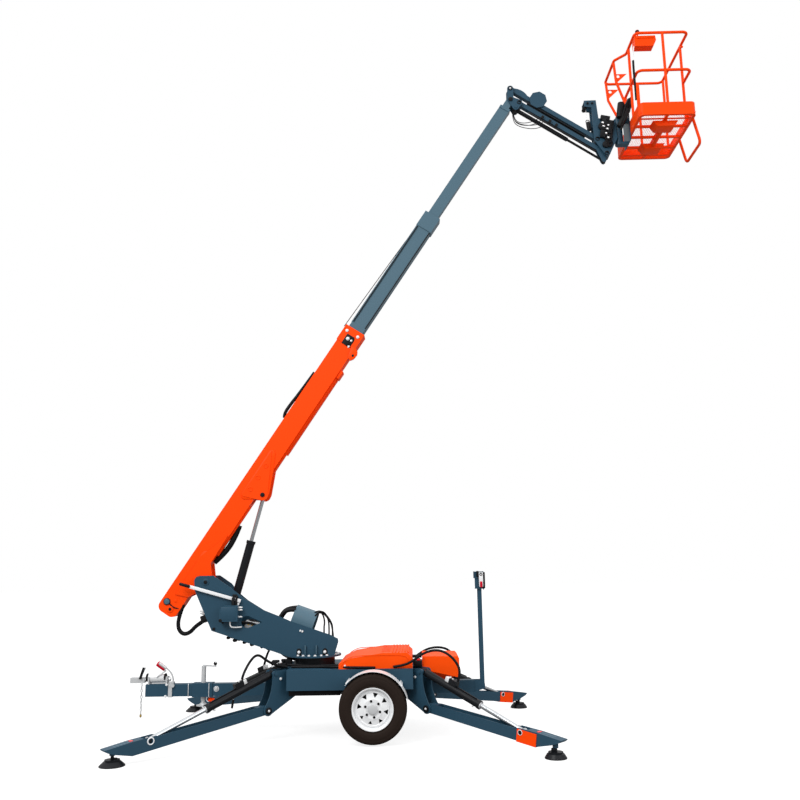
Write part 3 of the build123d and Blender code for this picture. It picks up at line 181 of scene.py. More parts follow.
def finish(name, colour, rough, metal=0.0, coat=0.0, mottle=0.06, grain=0.0,
           grain_size=180, shine=0.5):
    """One finish: colour, roughness with a slow mottle and a fine grain in the bump."""
    material = bpy.data.materials.new(name)
    tree = empty_tree(material)
    place = node(tree, "TexCoord").outputs["Object"]
    noise = node(tree, "TexNoise", Vector=place, Scale=3.5, Detail=5.0)
    spread = node(tree, "MapRange", Value=noise.outputs["Fac"],
                  To_Min=max(rough - mottle, 0.03), To_Max=min(rough + mottle, 1.0))
    body = node(tree, "BsdfPrincipled", Base_Color=(*colour, 1), Metallic=metal,
                Roughness=spread.outputs["Result"], Coat_Weight=coat, Coat_Roughness=0.15,
                Specular_IOR_Level=shine)
    if grain:
        fine = node(tree, "TexNoise", Vector=place, Scale=grain_size, Detail=3.0)
        bump = node(tree, "Bump", Strength=grain, Distance=0.002, Height=fine.outputs["Fac"])
        tree.links.new(bump.outputs["Normal"], body.inputs["Normal"])
    node(tree, "OutputMaterial", Surface=body.outputs[0])
    return material


orange = finish("orange paint", (1.0, 0.062, 0.0), 0.45, grain=0.05, shine=0.1)
orange_shell = finish("orange moulding", (1.0, 0.078, 0.0), 0.5, grain=0.12,
                      grain_size=400, shine=0.12)
slate = finish("slate paint", (0.02, 0.062, 0.1), 0.42, grain=0.05, shine=0.25)
slate_boom = finish("slate boom paint", (0.065, 0.13, 0.175), 0.38, grain=0.05,
                    shine=0.35)
black = finish("black paint", (0.006, 0.007, 0.009), 0.36, grain=0.04, shine=0.2)
rubber = finish("tyre rubber", (0.017, 0.01, 0.007), 0.75, grain=0.35, grain_size=420,
                shine=0.15)
hose_rubber = finish("hose rubber", (0.004, 0.004, 0.005), 0.5, grain=0.1, grain_size=500,
                     shine=0.15)
white = finish("white enamel", (0.82, 0.83, 0.84), 0.3, coat=0.2, grain=0.03,
                     grain_size=150)
zinc = finish("zinc plate", (0.62, 0.63, 0.64), 0.38, metal=0.35, mottle=0.14, grain=0.06,
              grain_size=260)
chrome = finish("chrome", (0.55, 0.57, 0.59), 0.2, metal=1.0, mottle=0.02)
plastic = finish("black plastic", (0.007, 0.007, 0.008), 0.5, grain=0.08, grain_size=600,
                 shine=0.15)
brass = finish("yellow zinc", (0.62, 0.42, 0.12), 0.35, metal=0.8)
red = finish("red grip", (0.55, 0.002, 0.02), 0.5, grain=0.05, grain_size=300, shine=0.1)
reflector_red = finish("reflector red", (0.85, 0.02, 0.02), 0.15, coat=0.5)
pale = finish("pale steel", (0.85, 0.86, 0.86), 0.35, metal=0.3, mottle=0.1)

# %% Paint of the solid pieces: the rest of them are slate
corners = ("front_left", "front_right", "rear_left", "rear_right")
node_finish = {}
for paint, names in (
    (zinc, ["coupling", "handbrake", "safety_chain", "jack_tube", "jack_leg"]),
    (black, ["axle", "slew_bearing", "power_unit", "lift_barrel", "jib_barrel"]
     + ["foot_" + c for c in corners] + ["barrel_" + c for c in corners]),
    (white, ["mudguards", "wheel_left", "wheel_right"]),
    (orange_shell, ["rear_cover", "power_cover"]),
    (slate_boom, ["hose_cover", "boom_mid", "boom_inner"]),
    (chrome, ["lift_rod"] + ["rod_" + c for c in corners]),
    (orange, ["boom_base", "basket_frame", "basket_floor", "floor_panels", "platform_box",
              "sleeve_rear_left", "sleeve_rear_right"]),
    (plastic, ["jib_rod"]),
    (rubber, ["tyre_left", "tyre_right"]),
):
    node_finish.update({name: paint for name in names})
for name, piece in frame["nodes"].items():
    piece.data.materials.clear()
    piece.data.materials.append(node_finish.get(name, slate))

# %% [markdown]
# ## Helpers for small steel parts
# A fitter's parts are few: rods, blocks, flat plates, bolts and hoses. Each helper starts from one
# of Blender's primitives, shapes it, breaks its edges with a bevel, and then settles it: its place
# goes into the mesh, it gets its paint, and it rides on the body it is fixed to.

# %% Shaping helpers
def deselect():
    bpy.ops.object.select_all(action="DESELECT")


def only(piece):
    """Leaves one piece selected and active."""
    deselect()
    piece.select_set(True)
    bpy.context.view_layer.objects.active = piece


def primitive(add, **values):
    """One of Blender's primitives, alone and active."""
    deselect()
    add(**values)
    return bpy.context.object


def edit_all():
    """Opens the active piece for editing, with all of it selected."""
    bpy.ops.object.mode_set(mode="EDIT")
    bpy.ops.mesh.select_all(action="SELECT")


def close_edit():
    bpy.ops.object.mode_set(mode="OBJECT")


def toward(way):
    """The turn that lays a piece's own Z along a way."""
    return Vector(way).to_track_quat("Z", "Y")


def settle(piece, name, paint, body=None, smooth=35):
    """Applies a piece's modifiers and its place, paints it and lets it ride on its body."""
    only(piece)
    for modifier in list(piece.modifiers):
        bpy.ops.object.modifier_apply(modifier=modifier.name)
    bpy.ops.object.transform_apply(location=True, rotation=True, scale=True)
    bpy.ops.object.shade_smooth_by_angle(angle=radians(smooth))
    piece.name = piece.data.name = name
    piece.data.materials.clear()
    piece.data.materials.append(paint)
    if body:
        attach(piece, body)
    return piece


def soften(piece, width):
    """Breaks the sharp edges of a piece."""
    bevel = piece.modifiers.new("edges", "BEVEL")
    bevel.width = width
    bevel.segments = 2
    bevel.limit_method = "ANGLE"
    bevel.angle_limit = radians(40)


def rod(name, start, end, radius, paint, body=None, sides=32, edge=None):
    """A round bar between two points, with broken edges."""
    start, end = Vector(start), Vector(end)
    way = end - start
    piece = primitive(
        bpy.ops.mesh.primitive_cylinder_add, vertices=sides, radius=radius, depth=way.length,
        location=(start + end) / 2, rotation=toward(way).to_euler(),
    )
    soften(piece, edge or min(radius, way.length) * 0.2)
    return settle(piece, name, paint, body)


def block(name, centre, size, paint, body=None, turn=(0, 0, 0), edge=0.003):
    """A rectangular block with broken edges. The turn is in degrees."""
    piece = primitive(
        bpy.ops.mesh.primitive_cube_add, size=1, location=centre,
        rotation=[radians(a) for a in turn], scale=size,
    )
    bpy.ops.object.transform_apply(location=False, rotation=False, scale=True)
    soften(piece, edge)
    return settle(piece, name, paint, body)


def outline(corners, fill="NOTHING"):
    """A closed outline through these corners, as the start of a plate or of a turned piece."""
    piece = primitive(bpy.ops.mesh.primitive_circle_add, vertices=len(corners), radius=1,
                      fill_type=fill)
    for vertex, corner in zip(piece.data.vertices, corners):
        vertex.co = corner
    return piece


def spin_round(steps, gap):
    """Turns the active outline round the Y axis and closes its surface."""
    edit_all()
    bpy.ops.mesh.spin(steps=steps, angle=2 * pi, center=(0, 0, 0), axis=(0, 1, 0))
    bpy.ops.mesh.select_all(action="SELECT")
    bpy.ops.mesh.remove_doubles(threshold=gap)
    bpy.ops.mesh.normals_make_consistent(inside=False)
    bpy.ops.mesh.select_all(action="DESELECT")
    close_edit()


def plate(name, corners, level, thick, paint, body=None, edge=0.0015):
    """A flat plate in the side view: its corners are (x, z), its near face at y = level."""
    piece = outline([(x, level + thick, z) for x, z in corners], fill="NGON")
    edit_all()
    bpy.ops.mesh.extrude_region_move(TRANSFORM_OT_translate={"value": (0, -thick, 0)})
    bpy.ops.mesh.select_all(action="SELECT")
    bpy.ops.mesh.normals_make_consistent(inside=False)
    close_edit()
    soften(piece, edge)
    return settle(piece, name, paint, body)


def ring(name, centre, way, radius, thick, paint, body=None):
    """A round ring, such as a weld or a collar."""
    piece = primitive(
        bpy.ops.mesh.primitive_torus_add, major_radius=radius, minor_radius=thick,
        major_segments=40, minor_segments=12, location=centre, rotation=toward(way).to_euler(),
    )
    return settle(piece, name, paint, body, smooth=80)


def ball(name, centre, radius, tall, paint, body):
    """A round knob. Its height is a share of its width."""
    piece = primitive(bpy.ops.mesh.primitive_uv_sphere_add, segments=32, ring_count=16,
                      radius=radius, location=centre)
    piece.scale = (1, 1, tall)
    return settle(piece, name, paint, body, smooth=80)


def merge(pieces, name):
    """Joins finished pieces of one paint into one."""
    deselect()
    for piece in pieces:
        piece.select_set(True)
    bpy.context.view_layer.objects.active = pieces[0]
    bpy.ops.object.join()
    pieces[0].name = pieces[0].data.name = name
    return pieces[0]


def group(name, body, pieces):
    """Joins finished pieces of one paint into one that rides on a body."""
    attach(merge(pieces, name), body)


def cut(piece, cutter):
    """Cuts one piece out of another and removes it."""
    bore = piece.modifiers.new("cut", "BOOLEAN")
    bore.operation, bore.solver, bore.object = "DIFFERENCE", "EXACT", cutter
    only(piece)
    bpy.ops.object.modifier_apply(modifier="cut")
    bpy.data.objects.remove(cutter)


# %% One bolt, to be copied
# A hexagon head on its washer, 2 units across and standing on the ground.
bolt_parts = []
for sides, radius, tall, middle, edge, steps in ((6, 1, 0.8, 0.6, 0.12, 2),
                                                 (24, 1.3, 0.2, 0.1, 0.05, 1)):
    bolt_parts.append(primitive(bpy.ops.mesh.primitive_cylinder_add, vertices=sides,
                                radius=radius, depth=tall, location=(0, 0, middle)))
    edit_all()
    bpy.ops.mesh.bevel(offset=edge, segments=steps, affect="EDGES")
    close_edit()
bolt_master = merge(bolt_parts, "bolt")
bpy.ops.object.transform_apply(location=True, rotation=True, scale=True)


def bolts(name, spots, paint, body):
    """Bolts at (place, way out, radius), as one piece."""
    made = []
    for place, way, radius in spots:
        copy = bolt_master.copy()
        copy.data = bolt_master.data.copy()
        bpy.context.collection.objects.link(copy)
        copy.matrix_world = Matrix.LocRotScale(Vector(place), toward(way), Vector((radius,) * 3))
        made.append(copy)
    return settle(merge(made, name), name, paint, body, smooth=30)


# %% [markdown]
# ## Hoses
# A hose bends evenly, so its line is a NURBS curve through a few points: it swings past them in
# one smooth sweep. The curve is made a tube with its bevel depth. Where a hose crosses a joint,
# the tube becomes a mesh that stays where it lies and rides on neither body.


# %% Hose helpers
def tube(name, points, radius, paint, body=None):
    """A smooth tube with these control points, and the line it runs along."""
    piece = primitive(bpy.ops.curve.primitive_nurbs_path_add)
    curve = piece.data
    curve.splines.clear()
    spline = curve.splines.new("NURBS")
    spline.points.add(len(points) - 1)
    for point, place in zip(spline.points, points):
        point.co = (*place, 1)
    spline.order_u = 3
    spline.use_endpoint_u = True
    spline.resolution_u = curve.resolution_u = 12
    curve.bevel_resolution = 4
    line = bpy.data.meshes.new_from_object(piece)
    path = [tuple(v.co) for v in line.vertices]
    bpy.data.meshes.remove(line)
    curve.bevel_depth = radius
    curve.use_fill_caps = True
    only(piece)
    bpy.ops.object.convert(target="MESH")
    return settle(bpy.context.object, name, paint, body, smooth=80), path


def hose(name, points, radius, paint, body=None):
    """A hose that is clipped to one body all the way."""
    return tube(name, points, radius, paint, body)[0]


def free_hose(name, points, radius, paint, body, to=None):
    """A hose that hangs free between its two ends. Where it runs to another body it stays where it
    lies, on neither body.
    """
    piece, path = tube(name, points, radius, paint, None if to else body)
    if to:
        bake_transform(piece)


# %% [markdown]
# ## Tyres
# A tyre is one profile turned round its axle. Half of the profile is written down, from the bead
# to the middle of the tread, and mirrored. It is spun round in small steps, and then every fifth
# strip of the tread's faces is pushed in, which leaves the blocks standing between them.

# %% Tyres, in metres from the wheel's middle
half_profile = [
    (0.08, 0.196), (0.092, 0.193), (0.0965, 0.203), (0.0935, 0.215), (0.0985, 0.222),
    (0.1015, 0.24), (0.1022, 0.262), (0.1005, 0.281), (0.0985, 0.285), (0.0992, 0.289),
    (0.095, 0.303), (0.089, 0.314), (0.082, 0.321), (0.064, 0.3255), (0.062, 0.3175),
    (0.056, 0.3175), (0.054, 0.327), (0.028, 0.329), (0.0262, 0.32), (0.02, 0.32),
    (0.0182, 0.3298), (0.0, 0.33),
]
inner_profile = [(0.0, 0.306), (0.07, 0.3), (0.088, 0.275), (0.088, 0.235), (0.074, 0.205)]


tread_steps = 240
groove_depth = 0.006
step_angle = 360 / tread_steps
for side in ("left", "right"):
    low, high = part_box("tyre_" + side)
    loop = half_profile + [(-y, r) for y, r in half_profile[-2::-1]]
    loop += [(-y, r) for y, r in inner_profile[:0:-1]] + inner_profile
    piece = outline([(0, y, r) for y, r in loop])
    spin_round(tread_steps, 0.0001)
    for face in piece.data.polygons:
        at = face.center
        step = int(round((degrees(atan2(at.x, at.z)) % 360 - step_angle / 2) / step_angle))
        out, r = abs(at.y), hypot(at.x, at.z)
        shoulder = r > 0.316 and 0.062 < out < 0.09 and step % 5 == 0
        middle = r > 0.3255 and out < 0.055 and (step + (2 if at.y > 0 else 0)) % 5 == 0
        face.select = shoulder or middle
    bpy.ops.object.mode_set(mode="EDIT")
    bpy.ops.mesh.select_mode(type="FACE")
    bpy.ops.mesh.extrude_region_shrink_fatten(TRANSFORM_OT_shrink_fatten={"value": -groove_depth})
    close_edit()
    piece.location = (low + high) / 2
    settle(piece, "tread_tyre_" + side, rubber, "wheel_" + side, smooth=28)
    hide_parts("tyre_" + side)

# %% [markdown]
# ## Wheels
# The pressed wheel is one section turned round the axle: rim, dished disc and hub. Eight slots
# with rounded corners are cut through the disc with a boolean modifier, so the dark brake drum
# shows behind them. Lug nuts and the hub's cap are added last.

# %% Pressed wheels, in millimetres from the disc's plane
wheel_section = [
    (206, 32), (206, 27), (190, 26), (190, -151), (206, -152), (206, -157), (182, -156),
    (182, -13), (150, -7), (96, 5), (58, 5), (58, -125), (28, -125), (28, 0), (22, 6), (0, 6),
    (0, 12), (60, 12), (64, 14), (92, 14), (97, 11), (146, 0), (152, 4), (160, 4), (166, -3),
    (178, -5), (183, 2), (183, 22), (188, 30), (194, 33),
]


def wheel_slot(turn):
    """One cutter: a three-sided bar with its long edges rounded, at this turn of the wheel."""
    cutter = primitive(
        bpy.ops.mesh.primitive_cylinder_add, vertices=3, radius=0.03, depth=0.08,
        rotation=(radians(90), turn + pi, 0), location=(0.134 * sin(turn), 0, 0.134 * cos(turn)),
    )
    bpy.ops.object.transform_apply(location=False, rotation=True, scale=False)
    mesh = cutter.data
    weight = mesh.attributes.new("bevel_weight_edge", "FLOAT", "EDGE")
    for edge in mesh.edges:
        a, b = (mesh.vertices[v].co for v in edge.vertices)
        if abs(a.y - b.y) > 0.05:
            weight.data[edge.index].value = 1.0
    bevel = cutter.modifiers.new("round", "BEVEL")
    bevel.limit_method, bevel.width, bevel.segments = "WEIGHT", 0.008, 4
    bpy.ops.object.modifier_apply(modifier="round")
    return cutter


for side, out in (("left", -1), ("right", 1)):
    body = "wheel_" + side
    low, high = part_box(body)
    middle = (low + high) / 2

    def on_axle(y):
        """A place on the axle, this far out from the wheel's middle."""
        return middle + Vector((0, out * y, 0))

    piece = outline([(0, out * o / 1000, r / 1000) for r, o in wheel_section])
    spin_round(128, 0.00001)
    cut(piece, merge([wheel_slot(radians(11 + 45 * n)) for n in range(8)], "slot_cutter"))
    piece.location = on_axle(0.0615)
    settle(piece, "pressed_wheel_" + side, white, body, smooth=30)
    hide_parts(body)

    rod("drum_" + side, on_axle(0.012), on_axle(-0.055), 0.148, black, body, sides=64, edge=0.006)
    nut_turns = [radians(101 + 60 * n) for n in range(6)]
    bolts("lug_nuts_" + side, [
        (on_axle(0.0745) + Vector((0.074 * cos(a), 0, 0.074 * sin(a))), (0, out, 0), 0.0095)
        for a in nut_turns], plastic, body)
    rod("hub_cap_" + side, on_axle(0.0685), on_axle(0.095), 0.048, zinc, body, sides=48,
        edge=0.007)

# %% [markdown]
# ## Outriggers
# Each arm carries the same fittings at the same places along it, so they are laid out once in the
# arm's own side view: how far along it, how far to the side, and how far above its line. A
# matrix turns that view to the arm's way. The rings round the rod's eye are white on the front
# arms; the rear arms wear an orange sleeve there.

# %% Where the arms and cylinders are
corner_places = {
    row["child"][4:]: Vector(row["pos_m"])
    for row in frame["joints"] if row["name"].startswith("arm_")
}
arm_reach = {"front": 1.52, "rear": 1.4}
splay, slope = radians(40), radians(8)
eye_back, eye_up = 0.318, 0.044  # the rod's eye, from the foot and above the arm's line


def corner_way(corner):
    """The level way in which an outrigger points."""
    way = -1 if corner.startswith("front") else 1
    hand = -1 if corner.endswith("left") else 1
    return Vector((way * cos(splay), hand * sin(splay), 0))


def arm_view(corner):
    """The arm's own view: x along it, y to its left, z up from its line."""
    flat = corner_way(corner)
    along = (flat * cos(slope) - UP * sin(slope)).normalized()
    up = (flat * sin(slope) + UP * cos(slope)).normalized()
    turn = Matrix((along, up.cross(along), up)).transposed().to_4x4()
    return Matrix.Translation(corner_places[corner]) @ turn


def barrel_view(corner):
    """The cylinder's own view: x along it, y to its left, z up from its line."""
    base = joint_at["barrel_%s_swing" % corner]
    reach = arm_reach[corner.split("_")[0]]
    line = (arm_view(corner) @ Vector((reach - eye_back, 0, eye_up)) - base).normalized()
    side = UP.cross(line).normalized()
    top = line.cross(side).normalized()
    turn = Matrix((line, side, top)).transposed().to_4x4()
    return Matrix.Translation(base) @ turn


# %% Fittings on the arms
for corner in corner_places:
    view = arm_view(corner)
    reach = arm_reach[corner.split("_")[0]]
    body = "arm_" + corner
    angles = [degrees(a) for a in view.to_euler()]
    side, radius, thick = 0.0645, 0.0215, 0.003
    if corner.startswith("front"):
        side, radius, thick = 0.0565, 0.0285, 0.006

    def at(s, y, z):
        return view @ Vector((s, y, z))

    eye = reach - eye_back
    for hand, tag in zip(HANDS, "ab"):
        ring("eye_ring_%s_%s" % (corner, tag), at(eye, hand * side, eye_up),
             view.to_3x3() @ Vector((0, 1, 0)), radius, thick, white, body)
        rod("eye_pin_%s_%s" % (corner, tag), at(eye, hand * (side - 0.004), eye_up),
            at(eye, hand * (side + 0.003), eye_up), 0.019, plastic, body)
    block("reflector_" + corner, at(reach - 0.157, 0, 0.083), (0.028, 0.05, 0.006),
          reflector_red, body, turn=angles, edge=0.002)
    group("grip_" + corner, body, [
        block("grip", at(reach - 0.125 + n * 0.03, 0, 0.0795 - n * 0.001), (0.01, 0.086, 0.006),
              slate_boom, turn=angles, edge=0.0015) for n in range(7)])
    rod("foot_nut_" + corner, at(reach, 0, -0.045), at(reach, 0, -0.02), 0.027, black, body,
        sides=6)

# %% [markdown]
# ## Cylinders
# The outrigger cylinders have a steel collar where the rod comes out, a white valve block on the
# barrel, a thin pipe along it and a short port. These also sit at set places along each barrel.

# %% Fittings on the cylinders
for corner in corner_places:
    view = barrel_view(corner)
    body = "barrel_" + corner
    front = corner.startswith("front")
    long = 0.768 if front else 0.736
    valve_at, valve_up = (0.35, 0.062) if front else (0.34, 0.058)
    hand = -1 if corner.endswith("left") else 1
    line, side = view.to_3x3().col[0], view.to_3x3().col[1]
    outer = 0.012 if side.y * hand > 0 else -0.012

    def at(s, z, y=0.0):
        return view @ Vector((s, y, z))

    ring("gland_" + corner, at(long - 0.028, 0), line, 0.0385, 0.0035, black, body)
    rod("wiper_" + corner, at(long - 0.004, 0), at(long + 0.008, 0), 0.031, zinc, body,
        edge=0.002)
    group("valve_" + corner, body, [
        block("valve", at(valve_at, valve_up), (0.11, 0.044, 0.044), pale,
              turn=[degrees(a) for a in view.to_euler()])
    ] + [
        rod("valve", at(valve_at + s, valve_up + low), at(valve_at + end, valve_up + high),
            radius, pale, sides=6)
        for s, low, end, high, radius in ((0.04, 0, 0.072, 0, 0.013),
                                          (-0.012, 0.016, -0.012, 0.036, 0.011),
                                          (0.018, 0.016, 0.018, 0.03, 0.01))
    ])
    rod("pipe_" + corner, at(valve_at + 0.05, 0.043, outer), at(long - 0.05, 0.043, outer),
        0.0055, black, body)
    rod("port_" + corner, at(long - 0.075, -0.034, outer), at(long - 0.075, -0.05, outer * 4 / 3),
        0.01, pale, body)

# %% [markdown]
# ## Chassis fittings
# Bolts keep the pins in the cheeks, and the pins' heads show on the outside. Below the deck a
# dark tray closes the frame.

# %% Pins and bolts of the chassis
keepers = []
heads = []
for corner, pivot in corner_places.items():
    run = corner_way(corner)
    for sign in HANDS:
        out = UP.cross(run) * sign
        heads.append(rod("pin", pivot + out * 0.0735, pivot + out * 0.084, 0.034, black,
                         edge=0.003))
        keepers.append((pivot - run * 0.136 + UP * 0.291 + out * 0.0725, out, 0.011))
        keepers.append((pivot + out * 0.083, out, 0.009))
group("pivot_heads", "chassis", heads)
bolts("keeper_bolts", keepers, white, "chassis")

axle_x = -0.615
tray = []
for hand in HANDS:
    tray.append(block("tray", (axle_x - 0.6, hand * 0.235, 0.444), (0.52, 0.33, 0.058), plastic,
                      edge=0.008))
    tray += [block("tray", (axle_x - 0.8 + 0.1 * n, hand * 0.402, 0.444), (0.012, 0.008, 0.05),
                   plastic, edge=0.002) for n in range(5)]
group("belly_tray", "chassis", tray)

# %% [markdown]
# ## Tow bar fittings
# The overrun damper is a bright tube between two dark bellows, the handbrake lever ends in a red
# grip, and the coupling has a black handle. The jack's clamp is welded round the bar, so a thin
# bead shows at both of its ends.

# %% Damper, grip and handle
rod("damper_tube", (-3.01, 0, 0.566), (-2.84, 0, 0.566), 0.036, white, "chassis")
for n, x in enumerate((-3.022, -2.83)):
    rod("damper_ring_%d" % n, (x - 0.008, 0, 0.566), (x + 0.008, 0, 0.566), 0.041, plastic,
        "chassis")
rod("grip_brake", (-2.91, -0.04, 0.712), (-2.826, -0.04, 0.655), 0.028, red, "chassis",
    edge=0.008)
rod("brake_strut", (-2.915, -0.04, 0.575), (-2.817, -0.04, 0.64), 0.009, white, "chassis")
plate("coupling_lever", [(-3.1, 0.556), (-3.07, 0.556), (-3.038, 0.668), (-3.062, 0.676)],
      -0.052, 0.008, plastic, "chassis", edge=0.002)
ball("crank_knob", (-2.308, 0, 0.698), 0.019, 1.05, plastic, "chassis")

# %% Beads and bolts of the tow bar
group("clamp_beads", "chassis", [
    rod("bead", (x, hand * 0.06, 0.372), (x, hand * 0.06, 0.506), 0.0035, pale, sides=10)
    for x in (-2.572, -2.357) for hand in HANDS])
rod("bar_bolt", (-2.28, -0.049, 0.448), (-2.28, -0.062, 0.448), 0.02, zinc, "chassis", sides=6)
ring("bar_bolt_washer", (-2.28, -0.051, 0.448), (0, 1, 0), 0.024, 0.004, white, "chassis")
bolts("strap_bolts", [((-2.795, -0.0795, 0.5), (0, -1, 0), 0.01),
                      ((-2.805, -0.0795, 0.385), (0, -1, 0), 0.01)], white, "chassis")

# %% Small things hanging from the tow bar
block("tow_mark", (-2.335, -0.028, 0.338), (0.062, 0.01, 0.04), orange, "chassis",
      turn=(0, 12, 0), edge=0.002)
rod("plumb_line", (-2.11, 0, 0.374), (-2.112, 0, 0.325), 0.003, pale, "chassis", sides=10)
rod("plumb_weight", (-2.112, 0, 0.33), (-2.124, 0, 0.245), 0.012, plastic, "chassis", edge=0.003)
rod("chain_end", (-3.061, -0.058, 0.204), (-3.061, -0.058, 0.182), 0.011, brass, "chassis",
    edge=0.003)

# %% [markdown]
# ## Hoses on the deck
# On each side a hose leaves the slewing ring over the deck to the front cylinder, and another
# swings in a high arc from under the hood to the rear one.
# Three more hoses and their blocks lie on the deck itself.

# %% Hoses to the cylinders
for hand, name in zip(HANDS, ("left", "right")):
    x, y, z = barrel_view("front_" + name) @ Vector((0.338, 0, 0.08))
    free_hose("front_hose_" + name, [
        (-1.5, hand * 0.33, 0.69), (-1.6, hand * 0.37, 0.705), (-1.69, hand * 0.43, 0.76),
        (-1.77, hand * 0.49, 0.835), (-1.83, hand * 0.54, 0.79), (x + 0.01, y, z + 0.06),
        (x, y, z)], 0.0125, hose_rubber, "chassis", to="barrel_front_" + name)
    start = [(-0.42, -0.466, 0.69), (-0.33, -0.482, 0.7), (-0.23, -0.5, 0.74)]
    lower = 0.0
    if hand > 0:  # the open hood has to clear this side's hose
        start = [(-0.205, 0.47, 0.685)]
        lower = 0.075
    x, y, z = barrel_view("rear_" + name) @ Vector((0.4, 0, 0.058))
    free_hose("rear_hose_" + name, start + [
        (-0.11, hand * 0.52, 0.83 - lower), (0.04, hand * 0.56, 0.86 - lower),
        (0.17, hand * 0.62, 0.79 - lower / 2), (x + 0.065, y, z + 0.11),
        (x + 0.02, y, z + 0.01)], 0.0125, hose_rubber, "chassis", to="barrel_rear_" + name)

for n, run in enumerate((
    [(-1.46, -0.3, 0.684), (-1.3, -0.33, 0.682), (-1.15, -0.33, 0.684),
     (-1.0, -0.42, 0.69), (-0.8, -0.47, 0.688), (-0.6, -0.468, 0.684)],
    [(-1.56, -0.25, 0.7), (-1.48, -0.29, 0.705), (-1.33, -0.29, 0.69),
     (-1.18, -0.29, 0.69), (-1.0, -0.36, 0.7), (-0.93, -0.4, 0.7)],
    [(-1.62, -0.2, 0.69), (-1.56, -0.12, 0.73), (-1.5, -0.06, 0.745),
     (-1.45, -0.04, 0.73)],
)):
    hose("deck_hose_%d" % n, run, 0.0125, hose_rubber, "chassis")
group("hose_blocks", "chassis", [
    block("block", (-1.56, -0.3, 0.7), (0.085, 0.06, 0.045), plastic),
    block("block", (-1.64, -0.2, 0.712), (0.07, 0.09, 0.06), plastic),
    block("block", (-1.54, -0.1, 0.715), (0.11, 0.06, 0.055), plastic),
])
rod("deck_fitting", (-1.66, -0.33, 0.69), (-1.57, -0.25, 0.728), 0.009, pale, "chassis")

# %% [markdown]
# ## Hoods
# The engine hood is a moulded shell with a raised rim and ribs across its rear. The cover behind
# it is plain. Between them a black mount and a short pipe show.

# %% Ribs, rim and catches of the hoods
low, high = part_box("power_cover")
ribs = [block("rib", (axle_x + 0.185 + 0.032 * n, 0, high.z + 0.0015),
              (0.014, high.y - low.y - 0.1, 0.014), orange_shell, edge=0.002) for n in range(6)]
ribs += [block("rib", (axle_x + 0.075 + 0.01 * n, 0, high.z + 0.001),
               (0.005, high.y - low.y - 0.22, 0.006), orange_shell, edge=0.001) for n in range(9)]
rim = [(-0.945, 0.7), (-0.925, 0.742), (-0.85, 0.785), (-0.78, 0.799), (-0.52, 0.803),
       (-0.31, 0.8), (-0.268, 0.77), (-0.25, 0.69)]
ribs += [hose("rim", [(x, hand * 0.452, z) for x, z in rim], 0.004, orange_shell)
         for hand in HANDS]
group("hood_ribs", "power_cover", ribs)
bolts("hood_screws", [((-0.905, -0.4505, 0.705), (0, -1, 0), 0.007),
                      ((-0.3, -0.4505, 0.712), (0, -1, 0), 0.007)], white, "power_cover")
rod("hood_stub", (-0.228, -0.33, 0.775), (-0.135, -0.33, 0.775), 0.016, plastic, "chassis")
block("hood_mount", (-0.175, -0.3, 0.7), (0.085, 0.06, 0.056), plastic, "chassis")
rod("filler", (-0.185, -0.32, 0.742), (-0.15, -0.32, 0.742), 0.014, reflector_red, "chassis")

# %% [markdown]
# ## Turret fittings
# The two side plates carry the boom's pivot pin, a blank cabinet with its cable glands, a pale
# measuring rod from the boom's tail to the cabinet, two stiffening ribs over the slewing ring and
# a row of bolts that hold the table to the ring.

# %% Turret plates
plate_y = 0.162  # the outer faces of the two side plates
boom_pin, slew = joint_at["boom_lift"], joint_at["turret_slew"]


def aside(place, y):
    """The same place, this far to the right."""
    return Vector(place) + Vector((0, y, 0))


def through(name, place, near, far, radius, paint, **more):
    """One end of a pin on each side of a place, from near to far off the middle plane."""
    return [rod(name, aside(place, hand * near), aside(place, hand * far), radius, paint, **more)
            for hand in HANDS]


group("pivot_washers", "turret",
      through("pin", boom_pin, plate_y - 0.002, plate_y + 0.006, 0.036, slate))
heads = through("pin", boom_pin, plate_y, plate_y + 0.016, 0.019, plastic)
for x, z in ((-2.296, 1.062), (-2.205, 1.128)):
    heads += through("pin", (x, 0, z), plate_y, plate_y + 0.012, 0.016, plastic, sides=6)
group("pivot_heads_turret", "turret", heads)

for n, x in enumerate((-1.337, -1.222)):
    upright = [(x - 0.004, 0.764), (x + 0.004, 0.764), (x + 0.004, 0.884), (x - 0.004, 0.884)]
    for level, tag in ((-plate_y - 0.034, "a"), (plate_y - 0.002, "b")):
        plate("rib_%d_%s" % (n, tag), upright, level, 0.036, slate_boom, "turret")

# Each side plate has two arched recesses with a bolt in each. They are not cut: a thin black plate
# on each face is their painted shade.
painted_hole_shades = []
for x in (-1.404, -1.134):
    arch = [(x - 0.026, 0.782), (x + 0.026, 0.782)]
    arch += [(x + 0.026 * cos(radians(a)), 0.826 + 0.026 * sin(radians(a)))
             for a in range(0, 181, 20)]
    painted_hole_shades += [plate("hole_shade", arch, level, 0.0022, plastic, edge=0.0004)
                 for level in (-plate_y - 0.0012, plate_y - 0.001)]
group("painted_hole_shade", "turret", painted_hole_shades)

ring_bolts = []
for n in range(24):
    a = radians(7.5 + 15 * n)
    x, y = slew.x + 0.246 * cos(a), slew.y + 0.246 * sin(a)
    if abs(y) > plate_y + 0.012 or x > slew.x + 0.2:
        ring_bolts.append(((x, y, slew.z + 0.016), UP, 0.0125))
for hand in HANDS:
    ring_bolts += [((x, hand * (plate_y + 0.001), z), (0, hand, 0), radius)
                   for x, z, radius in ((-1.405, 0.815, 0.012), (-1.136, 0.815, 0.012),
                                        (-1.392, 1.03, 0.008), (-1.37, 1.022, 0.008))]
bolts("table_bolts", ring_bolts, white, "turret")

# %% [markdown]
# ## The cabinet and the measuring rod
# The cabinet has a raised lid, a black latch and glands where the cables go in. The measuring rod
# is a flat pale bar with a rounded black end towards the boom.

